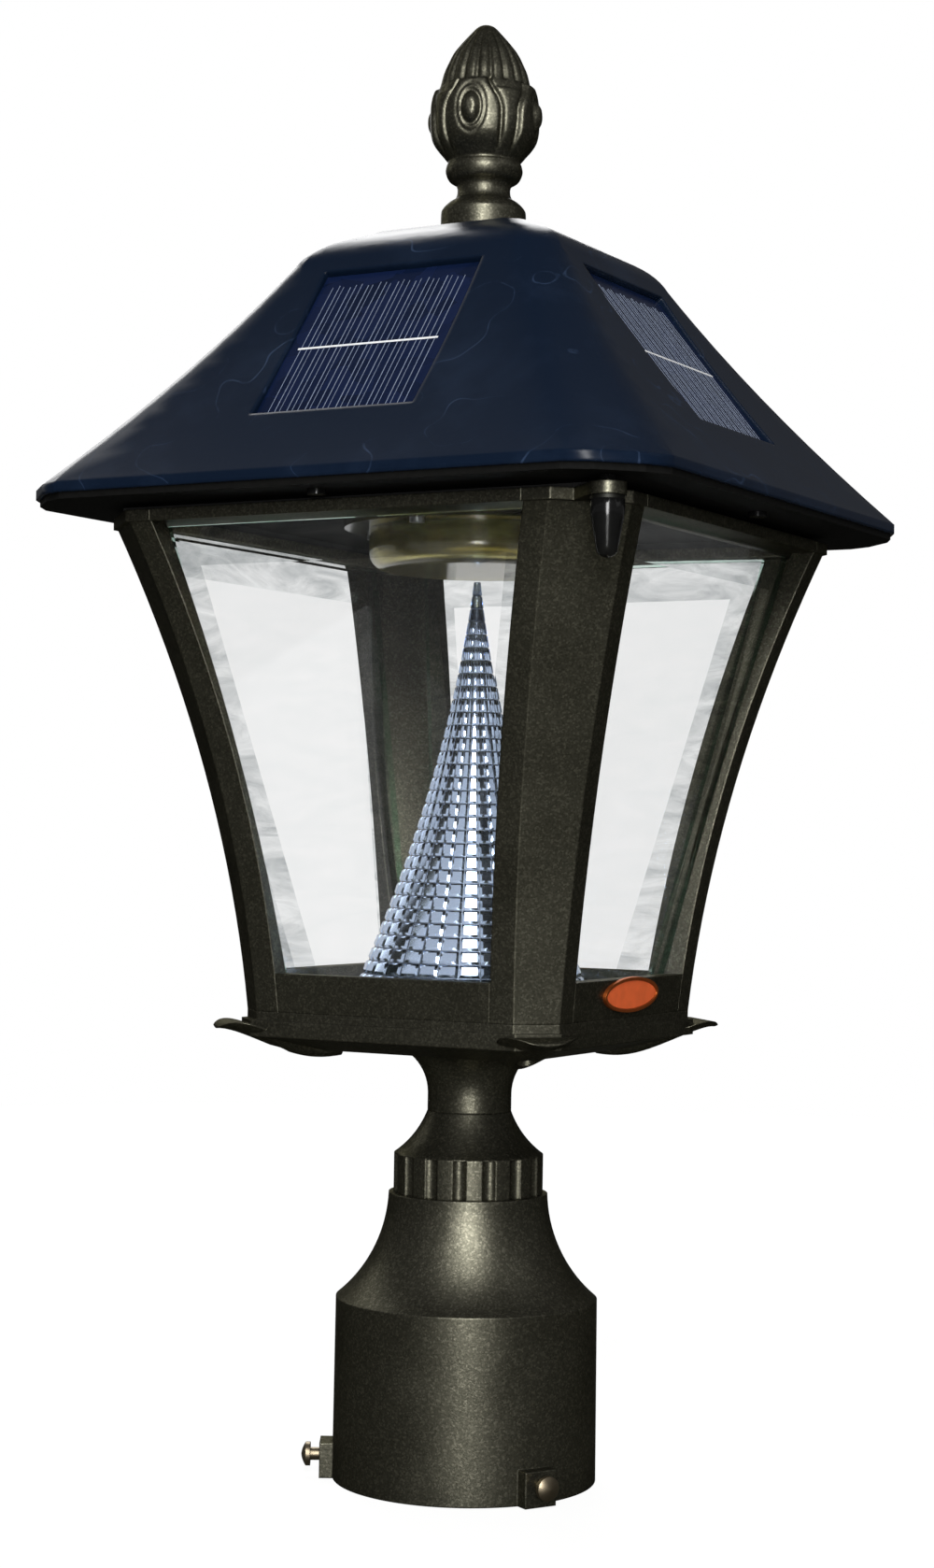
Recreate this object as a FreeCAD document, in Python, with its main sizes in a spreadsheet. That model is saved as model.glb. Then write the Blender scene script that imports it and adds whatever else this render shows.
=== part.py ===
import FreeCAD, Part
import math
import os
import re
import Sketcher
from FreeCAD import Placement, Rotation, Vector

# A solar lantern head that slips over the top of a round garden post.
# The origin is the centre of the fitter cup's rim, +Z is up and the front face looks along -Y.
# Lengths are millimetres. Heights are measured from the rim.

SIZES = {
    # Clearances
    "assembly_clearance": 0.2,
    "thread_clearance": 0.05,
    "joint_gap": 0.1,
    "slide_clearance": 0.3,
    # Fitter cup, for a post of 76.2 diameter
    "bore_radius": 39.0,
    "bore_depth": 55.0,
    "fitter_wall": 3.0,
    "fitter_draft": 0.3,
    "stop_height": 2.3,
    "fitter_sweep_height": 33.2,
    "fitter_neck_radius": 25.4,
    "fitter_bow": 4.0,
    "fitter_inner_bow": 2.8,
    "fitter_top_wall": 4.0,
    "post_stop": 2.1,
    "boss_width": 11.0,
    "boss_height": 11.0,
    "boss_proud": 4.0,
    "set_screw_height": 6.5,
    "set_screw_radius": 2.0,
    "set_screw_length": 10.0,
    "set_screw_head_radius": 3.75,
    "set_screw_head_height": 2.9,
    "set_screw_dome_bow": 0.27,
    # Fluted collar
    "collar_radius": 23.85,
    "collar_ring_height": 12.4,
    "collar_sweep_height": 13.6,
    "collar_bow": 1.28,
    "flute_radius": 2.6,
    "flute_depth": 1.3,
    # Threaded nipple with a nut and a washer at each end
    "nipple_radius": 5.0,
    "nipple_bore": 3.5,
    "thread_spare": 2.0,
    "nipple_nut_flats": 16.0,
    "nipple_nut_height": 5.0,
    "nipple_washer_radius": 9.5,
    "nipple_washer_thick": 1.2,
    # Base pan with its stem and leaf ears
    "stem_radius": 13.4,
    "stem_neck_height": 5.7,
    "stem_sweep_height": 14.1,
    "stem_flare_radius": 22.5,
    "stem_bow": 2.4,
    "stem_bite": 3.0,
    "pan_dish_height": 4.7,
    "pan_dish_run": 16.5,
    "pan_plate_thick": 5.0,
    "pan_overhang": 1.3,
    "pan_step_height": 2.7,
    "pan_floor_thick": 4.5,
    "pocket_inner": 6.5,
    "pocket_wall": 4.1,
    "ear_tip_reach": 9.5,
    "ear_tip_half": 5.0,
    "ear_tip_top": 2.8,
    "ear_tip_keel": 0.8,
    "ear_shoulder_reach": 3.8,
    "ear_shoulder_half": 11.5,
    "ear_shoulder_top": 4.4,
    "ear_shoulder_keel": 3.3,
    "ear_middle_run": 7.5,
    "ear_middle_half": 10.5,
    "ear_middle_top": 1.0,
    "ear_middle_keel": 4.2,
    "ear_root_run": 18.5,
    "ear_root_half": 6.0,
    "ear_root_sink": 2.5,
    "ear_root_keel": 4.2,
    "ear_heel_run": 30.5,
    "ear_heel_half": 4.5,
    "ear_heel_sink": 3.6,
    "ear_heel_keel": 3.0,
    "base_screw_radius": 1.5,
    "base_screw_head_radius": 2.8,
    "base_screw_head_height": 2.2,
    "base_screw_seat_thick": 5.5,
    "base_screw_bite": 5.5,
    # Cage of corner posts and rails
    "post_foot": 55.5,
    "post_head": 89.6,
    "cage_height": 149.7,
    "post_lean": 0.43,
    "chamfer_foot": 10.2,
    "chamfer_head": 17.5,
    "flange_width": 8.0,
    "flange_wall": 3.0,
    "corner_wall_foot": 4.5,
    "corner_wall_head": 2.0,
    "foot_block_gap": 2.3,
    "foot_block_bite": 2.0,
    "foot_block_height": 8.0,
    "lower_rail_height": 12.0,
    "cap_thick": 3.6,
    "cap_overhang": 1.0,
    "upper_rail_width": 16.6,
    "lug_offset": 1.9,
    "lug_radius": 5.3,
    "lug_reach": 16.0,
    # Glass
    "glass_thick": 4.0,
    "glass_bevel_width": 12.0,
    "glass_bevel_depth": 1.3,
    "glass_overlap": 1.0,
    "glass_end_gap": 0.3,
    # Floor plate and mirror cone
    "floor_thick": 1.5,
    "floor_hole_radius": 11.5,
    "cone_margin": 5.1,
    "cone_rim_height": 1.6,
    "cone_tip_gap": 3.5,
    "cone_tip_radius": 0.8,
    "cone_bow": 5.0,
    "cone_recess_radius": 11.5,
    "cone_recess_height": 12.0,
    "cone_screw_place": 18.0,
    "cone_screw_radius": 1.5,
    "cone_screw_length": 12.0,
    "cone_screw_head_radius": 2.8,
    "cone_screw_head_height": 2.0,
    # Thumb screws
    "stud_radius": 2.5,
    "stud_entry": 4.6,
    "thumb_washer_radius": 4.8,
    "thumb_washer_thick": 1.2,
    "knob_radius": 4.9,
    "knob_collar_height": 3.5,
    "knob_tip_radius": 2.9,
    "knob_length": 16.0,
    "knob_dome_height": 1.5,
    "knob_dome_bow": 0.39,
    # Gasket and roof
    "gasket_inset": 1.0,
    "gasket_width": 6.0,
    "gasket_thick": 2.0,
    "underplate_thick": 2.0,
    "underplate_inset": 1.0,
    "eave_overhang": 19.4,
    "rim_height": 3.0,
    "slope_rise": 73.0,
    "shoulder_half": 48.2,
    "bend_half": 44.3,
    "bend_rise": 5.0,
    "brow_half": 37.5,
    "brow_rise": 4.2,
    "crown_half": 27.0,
    "crown_rise": 4.5,
    "roof_sweep": 0.18,
    "roof_wall": 6.0,
    "hip_start_share": 0.211,
    "hip_crest_share": 0.136,
    "hip_drop_share": 0.038,
    "lug_boss_radius": 4.5,
    "plate_screw_inset": 12.0,
    "plate_screw_boss_radius": 4.0,
    "plate_screw_radius": 1.5,
    "plate_screw_head_radius": 2.8,
    "plate_screw_head_height": 1.6,
    "plate_screw_bite": 7.0,
    # Solar panels
    "recess_rise": 44.0,
    "recess_width": 56.0,
    "recess_length": 64.0,
    "recess_depth": 2.2,
    "recess_lead": 3.0,
    "panel_thick": 1.4,
    "panel_gap": 0.4,
    # Finial and its stud
    "finial_base_radius": 13.9,
    "finial_base_height": 9.8,
    "finial_base_bow": 1.03,
    "finial_fillet_height": 3.0,
    "finial_neck_radius": 8.6,
    "finial_neck_height": 5.5,
    "finial_bead_foot_radius": 9.8,
    "finial_bead_foot_height": 1.0,
    "finial_bead_radius": 12.3,
    "finial_bead_height": 4.6,
    "finial_bead_bow": 1.23,
    "finial_waist_radius": 12.0,
    "finial_waist_height": 1.4,
    "finial_belly_radius": 17.5,
    "finial_belly_rise": 10.0,
    "finial_belly_bow": 1.13,
    "finial_belly_height": 7.5,
    "finial_bud_radius": 14.9,
    "finial_bud_foot_height": 6.5,
    "finial_bud_height": 21.0,
    "finial_bud_bow": 2.25,
    "finial_point_radius": 1.2,
    "bud_flute_radius": 1.1,
    "finial_stud_radius": 3.0,
    "finial_stud_bite": 14.0,
    "finial_nut_flats": 10.0,
    "finial_nut_height": 5.0,
    "finial_washer_radius": 9.0,
    "finial_washer_thick": 1.6,
    # Lamp under the roof
    "lens_radius": 35.0,
    "lens_height": 15.0,
    "lens_wall": 2.5,
    "lens_round": 6.0,
    "lens_flange_width": 8.0,
    "lens_flange_thick": 2.0,
    "lens_screw_offset": 4.0,
    "lens_screw_radius": 1.25,
    "lens_screw_head_radius": 2.3,
    "lens_screw_head_height": 1.5,
    "led_board_margin": 4.5,
    "led_board_thick": 1.6,
    "led_radius": 2.5,
    "led_height": 5.4,
    "led_ring_radius": 16.0,
    "wire_hole_radius": 4.0,
    # Electronics above the underplate
    "board_length": 60.0,
    "board_width": 36.0,
    "board_thick": 1.6,
    "board_offset": 18.0,
    "board_standoff": 5.0,
    "board_standoff_radius": 2.6,
    "board_screw_inset": 4.0,
    "board_screw_radius": 1.1,
    "board_screw_head_radius": 2.0,
    "board_screw_head_height": 1.4,
    "cell_radius": 9.1,
    "cell_length": 65.0,
    "cell_gap": 0.6,
    "holder_wall": 2.0,
    "holder_height": 12.0,
    "holder_offset": 4.9,
    # Power switch
    "switch_gap": 7.3,
    "switch_length": 22.0,
    "switch_width": 11.0,
    "switch_height": 9.0,
    "switch_slot_depth": 5.0,
    "slider_length": 6.0,
    "slider_width": 5.0,
    "slider_proud": 2.6,
    "slider_entry": 4.4,
    "switch_travel": 4.0,
}

SET_SCREWS = 3
COLLAR_FLUTES = 16
BUD_FLUTES = 20
SIDES = 4
POST_SECTIONS = 4
ROOF_SECTIONS = 3
LED_RING = 6

doc = FreeCAD.newDocument("solar_lantern")
sheet = doc.addObject("Spreadsheet::Sheet", "Sizes")
for row, (alias, number) in enumerate(SIZES.items(), start=1):
    sheet.set(f"A{row}", alias.replace("_", " "))
    sheet.set(f"B{row}", str(number))
    sheet.setAlias(f"B{row}", alias)
doc.recompute()

# Lengths that follow from the driving sizes
FITTER_RADIUS = "(bore_radius + fitter_wall)"
FITTER_SHOULDER = "(bore_depth + stop_height)"
FITTER_TOP = f"({FITTER_SHOULDER} + fitter_sweep_height)"
FITTER_CEILING = f"({FITTER_TOP} - fitter_top_wall)"
BOSS_FACE = f"({FITTER_RADIUS} + boss_proud)"
NIPPLE_HOLE = "(nipple_radius + assembly_clearance)"
COLLAR_TOP = f"({FITTER_TOP} + collar_ring_height + collar_sweep_height)"
PAN_BOTTOM = f"({COLLAR_TOP} + stem_neck_height + stem_sweep_height)"
PAN_RIM = f"({PAN_BOTTOM} + pan_dish_height)"
PLATE_TOP = f"({PAN_RIM} + pan_plate_thick)"
BASE_TOP = f"({PLATE_TOP} + pan_step_height)"
SCREW_SEAT = f"({PAN_BOTTOM} + base_screw_seat_thick)"
NIPPLE_STACK = "(nipple_washer_thick + nipple_nut_height)"
NIPPLE_BOTTOM = f"({FITTER_CEILING} - {NIPPLE_STACK} - thread_spare)"
NIPPLE_TOP = f"({BASE_TOP} + {NIPPLE_STACK} + thread_spare)"
PLATE_HALF = "(post_foot + pan_overhang)"
PLATE_CORNER = f"(({PLATE_HALF} - chamfer_foot / 2) * sqrt(2))"
CAGE_TOP = f"({BASE_TOP} + cage_height)"
CAP_TOP = f"({CAGE_TOP} + cap_thick)"
CAP_HALF = "(post_head + cap_overhang)"
CAP_START = "(post_head - chamfer_head - flange_width)"
RAIL_INNER = f"({CAP_HALF} - upper_rail_width)"
THUMB_PLACE = "(post_head + lug_offset)"
GLASS_INSET = "((post_head - post_foot) * (1 - post_lean) / 4 + flange_wall)"
GLASS_FOOT = f"(post_foot - {GLASS_INSET})"
GLASS_HEAD = f"(post_head - {GLASS_INSET})"
GLASS_TILT = "atan((post_head - post_foot) / cage_height)"
GLASS_HALF_FOOT = "(post_foot - chamfer_foot - flange_width + glass_overlap)"
FOOT_BLOCK = f"({GLASS_HALF_FOOT} + foot_block_gap)"
FOOT_SCREW = f"(({FOOT_BLOCK} + {GLASS_FOOT}) / 2)"
FLOOR_TOP = f"({BASE_TOP} + floor_thick)"
FLOOR_HALF = f"({GLASS_FOOT} - joint_gap - glass_thick / cos({GLASS_TILT}) - slide_clearance)"
FLOOR_CUT = f"(2 * ({FLOOR_HALF} - {FOOT_BLOCK} + slide_clearance))"
CONE_RADIUS = f"({FLOOR_HALF} - cone_margin)"
GASKET_INNER = f"({RAIL_INNER} + gasket_inset)"
UNDERPLATE_BOTTOM = f"({CAP_TOP} + gasket_thick)"
RIM_BOTTOM = f"({UNDERPLATE_BOTTOM} + underplate_thick)"
EAVE_TOP = f"({RIM_BOTTOM} + rim_height)"
EAVE_HALF = "(post_head + eave_overhang)"
SLOPE_RUN = f"({EAVE_HALF} - shoulder_half)"
PANEL_SHARE = "(recess_rise / slope_rise)"
PANEL_TILT = f"atan({SLOPE_RUN} * (1 + roof_sweep * (1 - 2 * {PANEL_SHARE})) / slope_rise)"
SHOULDER = f"({EAVE_TOP} + slope_rise)"
BEND = f"({SHOULDER} + bend_rise)"
BROW = f"({BEND} + brow_rise)"
CROWN = f"({BROW} + crown_rise)"
PLATE_SCREW = f"({EAVE_HALF} - plate_screw_inset)"
WASHER_BOTTOM = f"({CAGE_TOP} - thumb_washer_thick)"
KNOB_BOTTOM = f"({WASHER_BOTTOM} - knob_length)"
STUD_TOP = f"({RIM_BOTTOM} + stud_entry)"
LENS_BOTTOM = f"({UNDERPLATE_BOTTOM} - lens_height)"
LENS_INNER = "(lens_radius - lens_wall)"
LENS_FLANGE = "(lens_radius + lens_flange_width)"
LENS_SCREW = "(lens_radius + lens_screw_offset)"
CONE_TIP = f"({LENS_BOTTOM} - cone_tip_gap)"
BOARD_BOTTOM = f"({RIM_BOTTOM} + board_standoff)"
BOARD_MIDDLE = "(0 - board_offset - board_width / 2)"
HOLDER_HALF = "(2 * cell_radius + 1.5 * cell_gap + holder_wall)"
HOLDER_MIDDLE = f"(holder_offset + {HOLDER_HALF})"
SWITCH_MIDDLE = f"({HOLDER_MIDDLE} + {HOLDER_HALF} + switch_gap + switch_width / 2)"
SLOT_LENGTH = "(slider_length + switch_travel + 2 * slide_clearance)"
SLOT_WIDTH = "(slider_width + 2 * slide_clearance)"


def bound(text):
    """The formula with the sheet's name put before each size."""
    return re.sub(r"[a-z_]+", lambda word: sheet_name(word.group()), text)


def sheet_name(word):
    """A size's full name, or the word itself where it names a function."""
    return f"Sizes.{word}" if word in SIZES else word


def value(text):
    """The number that a formula of sizes comes to."""
    result = sheet.evalExpression(bound(text))
    return float(getattr(result, "Value", result))


def origin_feature(body, role):
    """One of a body's own base planes or axes."""
    return next(feature for feature in body.Origin.OriginFeatures if feature.Role == role)


def new_body(label, turn=0.0):
    """An empty body, turned about the lantern's upright axis."""
    body = doc.addObject("PartDesign::Body", label)
    body.Label = label
    body.Placement = Placement(Vector(), Rotation(Vector(0, 0, 1), turn))
    return body


def new_sketch(body, plane, shift=("0", "0", "0"), tilt=None, tilt_axis=(1, 0, 0)):
    """A sketch on a base plane, shifted in the plane's own axes and tilted about one of them."""
    sketch = body.newObject("Sketcher::SketchObject", f"{body.Label}_sketch")
    sketch.AttachmentSupport = (origin_feature(body, plane), [""])
    sketch.MapMode = "FlatFace"
    start_angle = value(tilt) if tilt else 0.0
    turned = Rotation(Vector(*tilt_axis), start_angle)
    sketch.AttachmentOffset = Placement(Vector(*[value(text) for text in shift]), turned)
    for axis, text in zip("xyz", shift):
        sketch.setExpression(f"AttachmentOffset.Base.{axis}", bound(text))
    if tilt:
        sketch.setExpression("AttachmentOffset.Rotation.Angle", bound(tilt))
    return sketch


def level_sketch(body, height):
    """A sketch in a level plane at a height."""
    return new_sketch(body, "XY_Plane", ("0", "0", height))


def upright_sketch(body, x="0", y="0"):
    """A sketch in an upright plane whose own upright axis stands at x, y."""
    return new_sketch(body, "XZ_Plane", (x, "0", f"-({y})"))


def bow_radius(start, end, bow):
    """The radius of the arc between two points that bows out from their chord by a depth."""
    chord = f"((({end[0]}) - ({start[0]})) ^ 2 + (({end[1]}) - ({start[1]})) ^ 2)"
    return f"({chord} / (8 * {bow}) + {bow} / 2)"


def quarter(radius):
    """The bow of a quarter circle."""
    return f"({radius} * (1 - sqrt(0.5)))"


def arc_between(start, end, radius, side):
    """The short arc from start to end, its centre to the left of the way (1) or the right (-1)."""
    way = end - start
    left = Vector(-way.y, way.x, 0).normalize()
    reach = math.sqrt(radius ** 2 - (way.Length / 2) ** 2)
    centre = (start + end) / 2 + left * (side * reach)
    first, last = (start, end) if side > 0 else (end, start)
    angles = [math.atan2(spot.y - centre.y, spot.x - centre.x) for spot in (first, last)]
    return Part.ArcOfCircle(Part.Circle(centre, Vector(0, 0, 1), radius), *angles)


def bind(sketch, rules):
    """Adds constraints in one go and ties each that has a formula to the sheet."""
    indices = sketch.addConstraint([rule for rule, _ in rules])
    for index, (_, text) in zip(indices, rules):
        if text is not None:
            sketch.setExpression(f"Constraints[{index}]", bound(text))


def pin(kind, geometry, position, text):
    """A distance from the sketch's origin to a point, with its formula."""
    return Sketcher.Constraint(kind, -1, 1, geometry, position, value(text)), text


def outline(sketch, points):
    """Closes a loop of lines and arcs through the points and ties every point to the sheet.

    A point is (x, y), or (x, y, bow, side) where an arc leads on to the next point.
    """
    spots = [Vector(value(point[0]), value(point[1]), 0) for point in points]
    nexts = points[1:] + points[:1]
    rules = []
    ends = []
    for here, there, point, after in zip(spots, spots[1:] + spots[:1], points, nexts):
        if len(point) == 2:
            index = sketch.addGeometry(Part.LineSegment(here, there), False)
            ends.append((index, 1, 2))
        else:
            radius = bow_radius(point, after, point[2])
            arc = arc_between(here, there, value(radius), point[3])
            index = sketch.addGeometry(arc, False)
            ends.append((index, 1, 2) if point[3] > 0 else (index, 2, 1))
            rules.append((Sketcher.Constraint("Radius", index, value(radius)), radius))
    for (index, _, last), (after, first, _) in zip(ends, ends[1:] + ends[:1]):
        rules.append((Sketcher.Constraint("Coincident", index, last, after, first), None))
    for (index, first, _), point in zip(ends, points):
        rules.append(pin("DistanceX", index, first, point[0]))
        rules.append(pin("DistanceY", index, first, point[1]))
    bind(sketch, rules)
    return sketch


def circle(sketch, x, y, radius):
    """A circle tied to the sheet."""
    round_edge = Part.Circle(Vector(value(x), value(y), 0), Vector(0, 0, 1), value(radius))
    index = sketch.addGeometry(round_edge, False)
    size = Sketcher.Constraint("Radius", index, value(radius))
    bind(sketch, [pin("DistanceX", index, 3, x), pin("DistanceY", index, 3, y), (size, radius)])
    return sketch


def rectangle(sketch, left, right, low, high):
    """A rectangle tied to the sheet."""
    return outline(sketch, [(left, low), (right, low), (right, high), (left, high)])


def revolve(body, sketch, axis="V_Axis"):
    """A full turn of the sketch about one of its own axes."""
    made = body.newObject("PartDesign::Revolution", "turned")
    made.Profile = sketch
    made.ReferenceAxis = (sketch, [axis])
    made.Angle = 360
    return made


def pad(body, sketch, length, backwards=False):
    """The sketch thickened along its normal."""
    made = body.newObject("PartDesign::Pad", "pad")
    made.Profile = sketch
    made.setExpression("Length", bound(length))
    made.Reversed = backwards
    return made


def pocket(body, sketch, length, along_normal=False):
    """The sketch cut into the body, against its normal or along it."""
    doc.recompute()
    before = body.Shape.Volume
    made = body.newObject("PartDesign::Pocket", "pocket")
    made.Profile = sketch
    made.setExpression("Length", bound(length))
    made.Reversed = along_normal
    doc.recompute()
    if body.Shape.Volume > before - 1e-6:
        raise RuntimeError(f"{body.Label}: a pocket cuts nothing")
    return made


def loft(body, sketches, kind="AdditiveLoft", ruled=False):
    """A skin through the sketches, added to the body or cut from it."""
    made = body.newObject(f"PartDesign::{kind}", "loft")
    made.Profile = sketches[0]
    made.Sections = sketches[1:]
    made.Ruled = ruled
    return made


def polar(body, features, count):
    """Copies of features, evenly round the lantern's axis."""
    doc.recompute()
    made = body.newObject("PartDesign::PolarPattern", "ring")
    made.Originals = features
    made.Axis = (origin_feature(body, "Z_Axis"), [""])
    made.Angle = 360
    made.Occurrences = count
    body.Tip = made
    return made


def hexagon(sketch, flats):
    """A regular hexagon about the sketch's origin, by its width across flats."""
    corner = f"({flats} / 2 / cos(30 deg))"
    points = [(f"{corner} * cos({60 * step} deg)", f"{corner} * sin({60 * step} deg)")
              for step in range(6)]
    return outline(sketch, points)


def screw(body, place, tip, seat, head, radius, head_radius):
    """One upright screw at a place: tip, head seat and head end are heights."""
    sketch = upright_sketch(body, *place)
    outline(sketch, [("0", tip), (radius, tip), (radius, seat), (head_radius, seat),
                     (head_radius, head), ("0", head)])
    return revolve(body, sketch)


def fitter_cup():
    """The cup that slips over the post, with a boss and a tapped hole for each set screw."""
    body = new_body("fitter_cup")
    profile = upright_sketch(body)
    outline(profile, [
        ("bore_radius", "0"),
        (FITTER_RADIUS, "0"),
        (f"{FITTER_RADIUS} - fitter_draft", FITTER_SHOULDER, "fitter_bow", -1),
        ("fitter_neck_radius", FITTER_TOP),
        (NIPPLE_HOLE, FITTER_TOP),
        (NIPPLE_HOLE, FITTER_CEILING),
        ("fitter_neck_radius - fitter_wall", FITTER_CEILING, "fitter_inner_bow", 1),
        ("bore_radius - post_stop", FITTER_SHOULDER),
        ("bore_radius", "bore_depth"),
    ])
    revolve(body, profile)
    boss_plan = level_sketch(body, "0")
    rectangle(boss_plan, "-boss_width / 2", "boss_width / 2", "bore_radius + fitter_wall / 2", BOSS_FACE)
    boss = pad(body, boss_plan, "boss_height")
    hole_face = upright_sketch(body)
    circle(hole_face, "0", "set_screw_height", "set_screw_radius + thread_clearance")
    hole = pocket(body, hole_face, f"{BOSS_FACE} + boss_proud")
    polar(body, [boss, hole], SET_SCREWS)
    return [body]


def set_screws():
    """Pan head screws whose tips lie flush with the bore."""
    bodies = []
    shank_end = "(bore_radius + set_screw_length)"
    head_end = f"({shank_end} + set_screw_head_height)"
    dome_start = f"({shank_end} + set_screw_head_height / 2)"
    for step in range(SET_SCREWS):
        body = new_body(f"set_screw_{step + 1}", step * 360 / SET_SCREWS)
        profile = new_sketch(body, "YZ_Plane", ("0", "set_screw_height", "0"))
        outline(profile, [
            ("bore_radius", "0"),
            (head_end, "0", "set_screw_dome_bow", 1),
            (dome_start, "set_screw_head_radius"),
            (shank_end, "set_screw_head_radius"),
            (shank_end, "set_screw_radius"),
            ("bore_radius", "set_screw_radius"),
        ])
        revolve(body, profile, "H_Axis")
        bodies.append(body)
    return bodies


def fluted_collar():
    """The turned collar between cup and stem, with upright flutes round its ring."""
    body = new_body("fluted_collar")
    ring_top = f"({FITTER_TOP} + collar_ring_height)"
    profile = upright_sketch(body)
    outline(profile, [
        (NIPPLE_HOLE, FITTER_TOP),
        ("collar_radius", FITTER_TOP),
        ("collar_radius", ring_top, "collar_bow", -1),
        ("stem_radius", COLLAR_TOP),
        (NIPPLE_HOLE, COLLAR_TOP),
    ])
    revolve(body, profile)
    flute_plan = level_sketch(body, FITTER_TOP)
    circle(flute_plan, "collar_radius + flute_radius - flute_depth", "0", "flute_radius")
    flute = pocket(body, flute_plan, "collar_ring_height", along_normal=True)
    polar(body, [flute], COLLAR_FLUTES)
    return [body]


def nipple_parts():
    """The hollow threaded rod that clamps cup, collar and base, with its washers and nuts."""
    nipple = new_body("threaded_nipple")
    profile = upright_sketch(nipple)
    rectangle(profile, "nipple_bore", "nipple_radius", NIPPLE_BOTTOM, NIPPLE_TOP)
    revolve(nipple, profile)
    hole = "(nipple_radius + thread_clearance)"
    low_washer = f"({FITTER_CEILING} - nipple_washer_thick)"
    high_washer = f"({BASE_TOP} + nipple_washer_thick)"
    washers = new_body("nipple_washers")
    for low, high in ((low_washer, FITTER_CEILING), (BASE_TOP, high_washer)):
        section = upright_sketch(washers)
        rectangle(section, hole, "nipple_washer_radius", low, high)
        revolve(washers, section)
    nuts = new_body("nipple_nuts")
    for height in (f"{low_washer} - nipple_nut_height", high_washer):
        plan = level_sketch(nuts, height)
        hexagon(plan, "nipple_nut_flats")
        circle(plan, "0", "0", hole)
        pad(nuts, plan, "nipple_nut_height")
    return [nipple, washers, nuts]


def base_pan():
    """The cast base: turned stem, dished underside, stepped plate, ears, and pockets inside."""
    body = new_body("base_pan")
    bottom_half = "(post_foot - pan_dish_run)"
    low = level_sketch(body, PAN_BOTTOM)
    chamfered_square(low, bottom_half, "chamfer_foot")
    high = level_sketch(body, PAN_RIM)
    chamfered_square(high, PLATE_HALF, "chamfer_foot")
    dish_edge = level_sketch(body, PAN_RIM)
    chamfered_square(dish_edge, "post_foot", "chamfer_foot")
    loft(body, [low, dish_edge], ruled=True)
    pad(body, high, "pan_plate_thick")
    step = level_sketch(body, PLATE_TOP)
    chamfered_square(step, "post_foot", "chamfer_foot")
    pad(body, step, "pan_step_height")
    stem = upright_sketch(body)
    outline(stem, [
        ("0", COLLAR_TOP),
        ("stem_radius", COLLAR_TOP),
        ("stem_radius", f"{COLLAR_TOP} + stem_neck_height", "stem_bow", -1),
        ("stem_flare_radius", PAN_BOTTOM),
        ("stem_flare_radius", f"{PAN_BOTTOM} + stem_bite"),
        ("0", f"{PAN_BOTTOM} + stem_bite"),
    ])
    revolve(body, stem)
    ear = leaf_ear(body)
    polar(body, [ear], SIDES)
    recess_plan = level_sketch(body, BASE_TOP)
    outer = f"({FOOT_SCREW} - pocket_wall)"
    rectangle(recess_plan, "pocket_inner", outer, "pocket_inner", outer)
    recess = pocket(body, recess_plan, f"{BASE_TOP} - {PAN_BOTTOM} - pan_floor_thick")
    head_plan = level_sketch(body, SCREW_SEAT)
    circle(head_plan, FOOT_SCREW, FOOT_SCREW, "base_screw_head_radius + slide_clearance")
    head_room = pocket(body, head_plan, "base_screw_seat_thick + ear_root_keel")
    hole_plan = level_sketch(body, BASE_TOP)
    circle(hole_plan, FOOT_SCREW, FOOT_SCREW, "base_screw_radius + assembly_clearance")
    hole = pocket(body, hole_plan, f"{BASE_TOP} - {PAN_BOTTOM}")
    polar(body, [recess, head_room, hole], SIDES)
    bore = level_sketch(body, BASE_TOP)
    circle(bore, "0", "0", NIPPLE_HOLE)
    pocket(body, bore, f"{BASE_TOP} - {COLLAR_TOP}")
    return [body]


def chamfered_square(sketch, half, cut):
    """A square about the axis with its corners cut."""
    near = f"({half} - {cut})"
    return outline(sketch, [
        (f"-{near}", f"-{half}"), (near, f"-{half}"), (half, f"-{near}"), (half, near),
        (near, half), (f"-{near}", half), (f"-{half}", near), (f"-{half}", f"-{near}"),
    ])


def leaf_ear(body):
    """A leaf that runs out under the base's corner: keeled below, with a thin curled tip."""
    sections = []
    for reach, half, top, keel in (
            ("-ear_heel_run", "ear_heel_half", "-ear_heel_sink", "ear_heel_keel"),
            ("-ear_root_run", "ear_root_half", "-ear_root_sink", "ear_root_keel"),
            ("-ear_middle_run", "ear_middle_half", "ear_middle_top", "ear_middle_keel"),
            ("ear_shoulder_reach", "ear_shoulder_half", "ear_shoulder_top", "ear_shoulder_keel"),
            ("ear_tip_reach", "ear_tip_half", "ear_tip_top", "ear_tip_keel")):
        out = f"(({PLATE_CORNER} + {reach}) / sqrt(2))"
        sketch = new_sketch(body, "XZ_Plane", (out, f"{PAN_RIM} + {top}", out), "45 deg", (0, 1, 0))
        sections.append(outline(sketch, [(f"-{half}", "0", keel, 1), (half, "0")]))
    return loft(body, sections)


def base_screws():
    """Screws that pass up through the base into the feet of the posts."""
    body = new_body("base_screws")
    head = f"{SCREW_SEAT} - base_screw_head_height"
    one = screw(body, (FOOT_SCREW, FOOT_SCREW), f"{BASE_TOP} + base_screw_bite", SCREW_SEAT, head,
                "base_screw_radius", "base_screw_head_radius")
    polar(body, [one], SIDES)
    return [body]


def post_half(share):
    """Distance from the axis to a post's outer face, at a share of the cage's height."""
    lean = f"(post_lean * {share} + (1 - post_lean) * ({share}) ^ 2)"
    return f"(post_foot + (post_head - post_foot) * {lean})"


def between(foot, head, share):
    """A size that grows evenly from foot to head."""
    return f"({foot} + ({head} - {foot}) * {share})"


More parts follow.
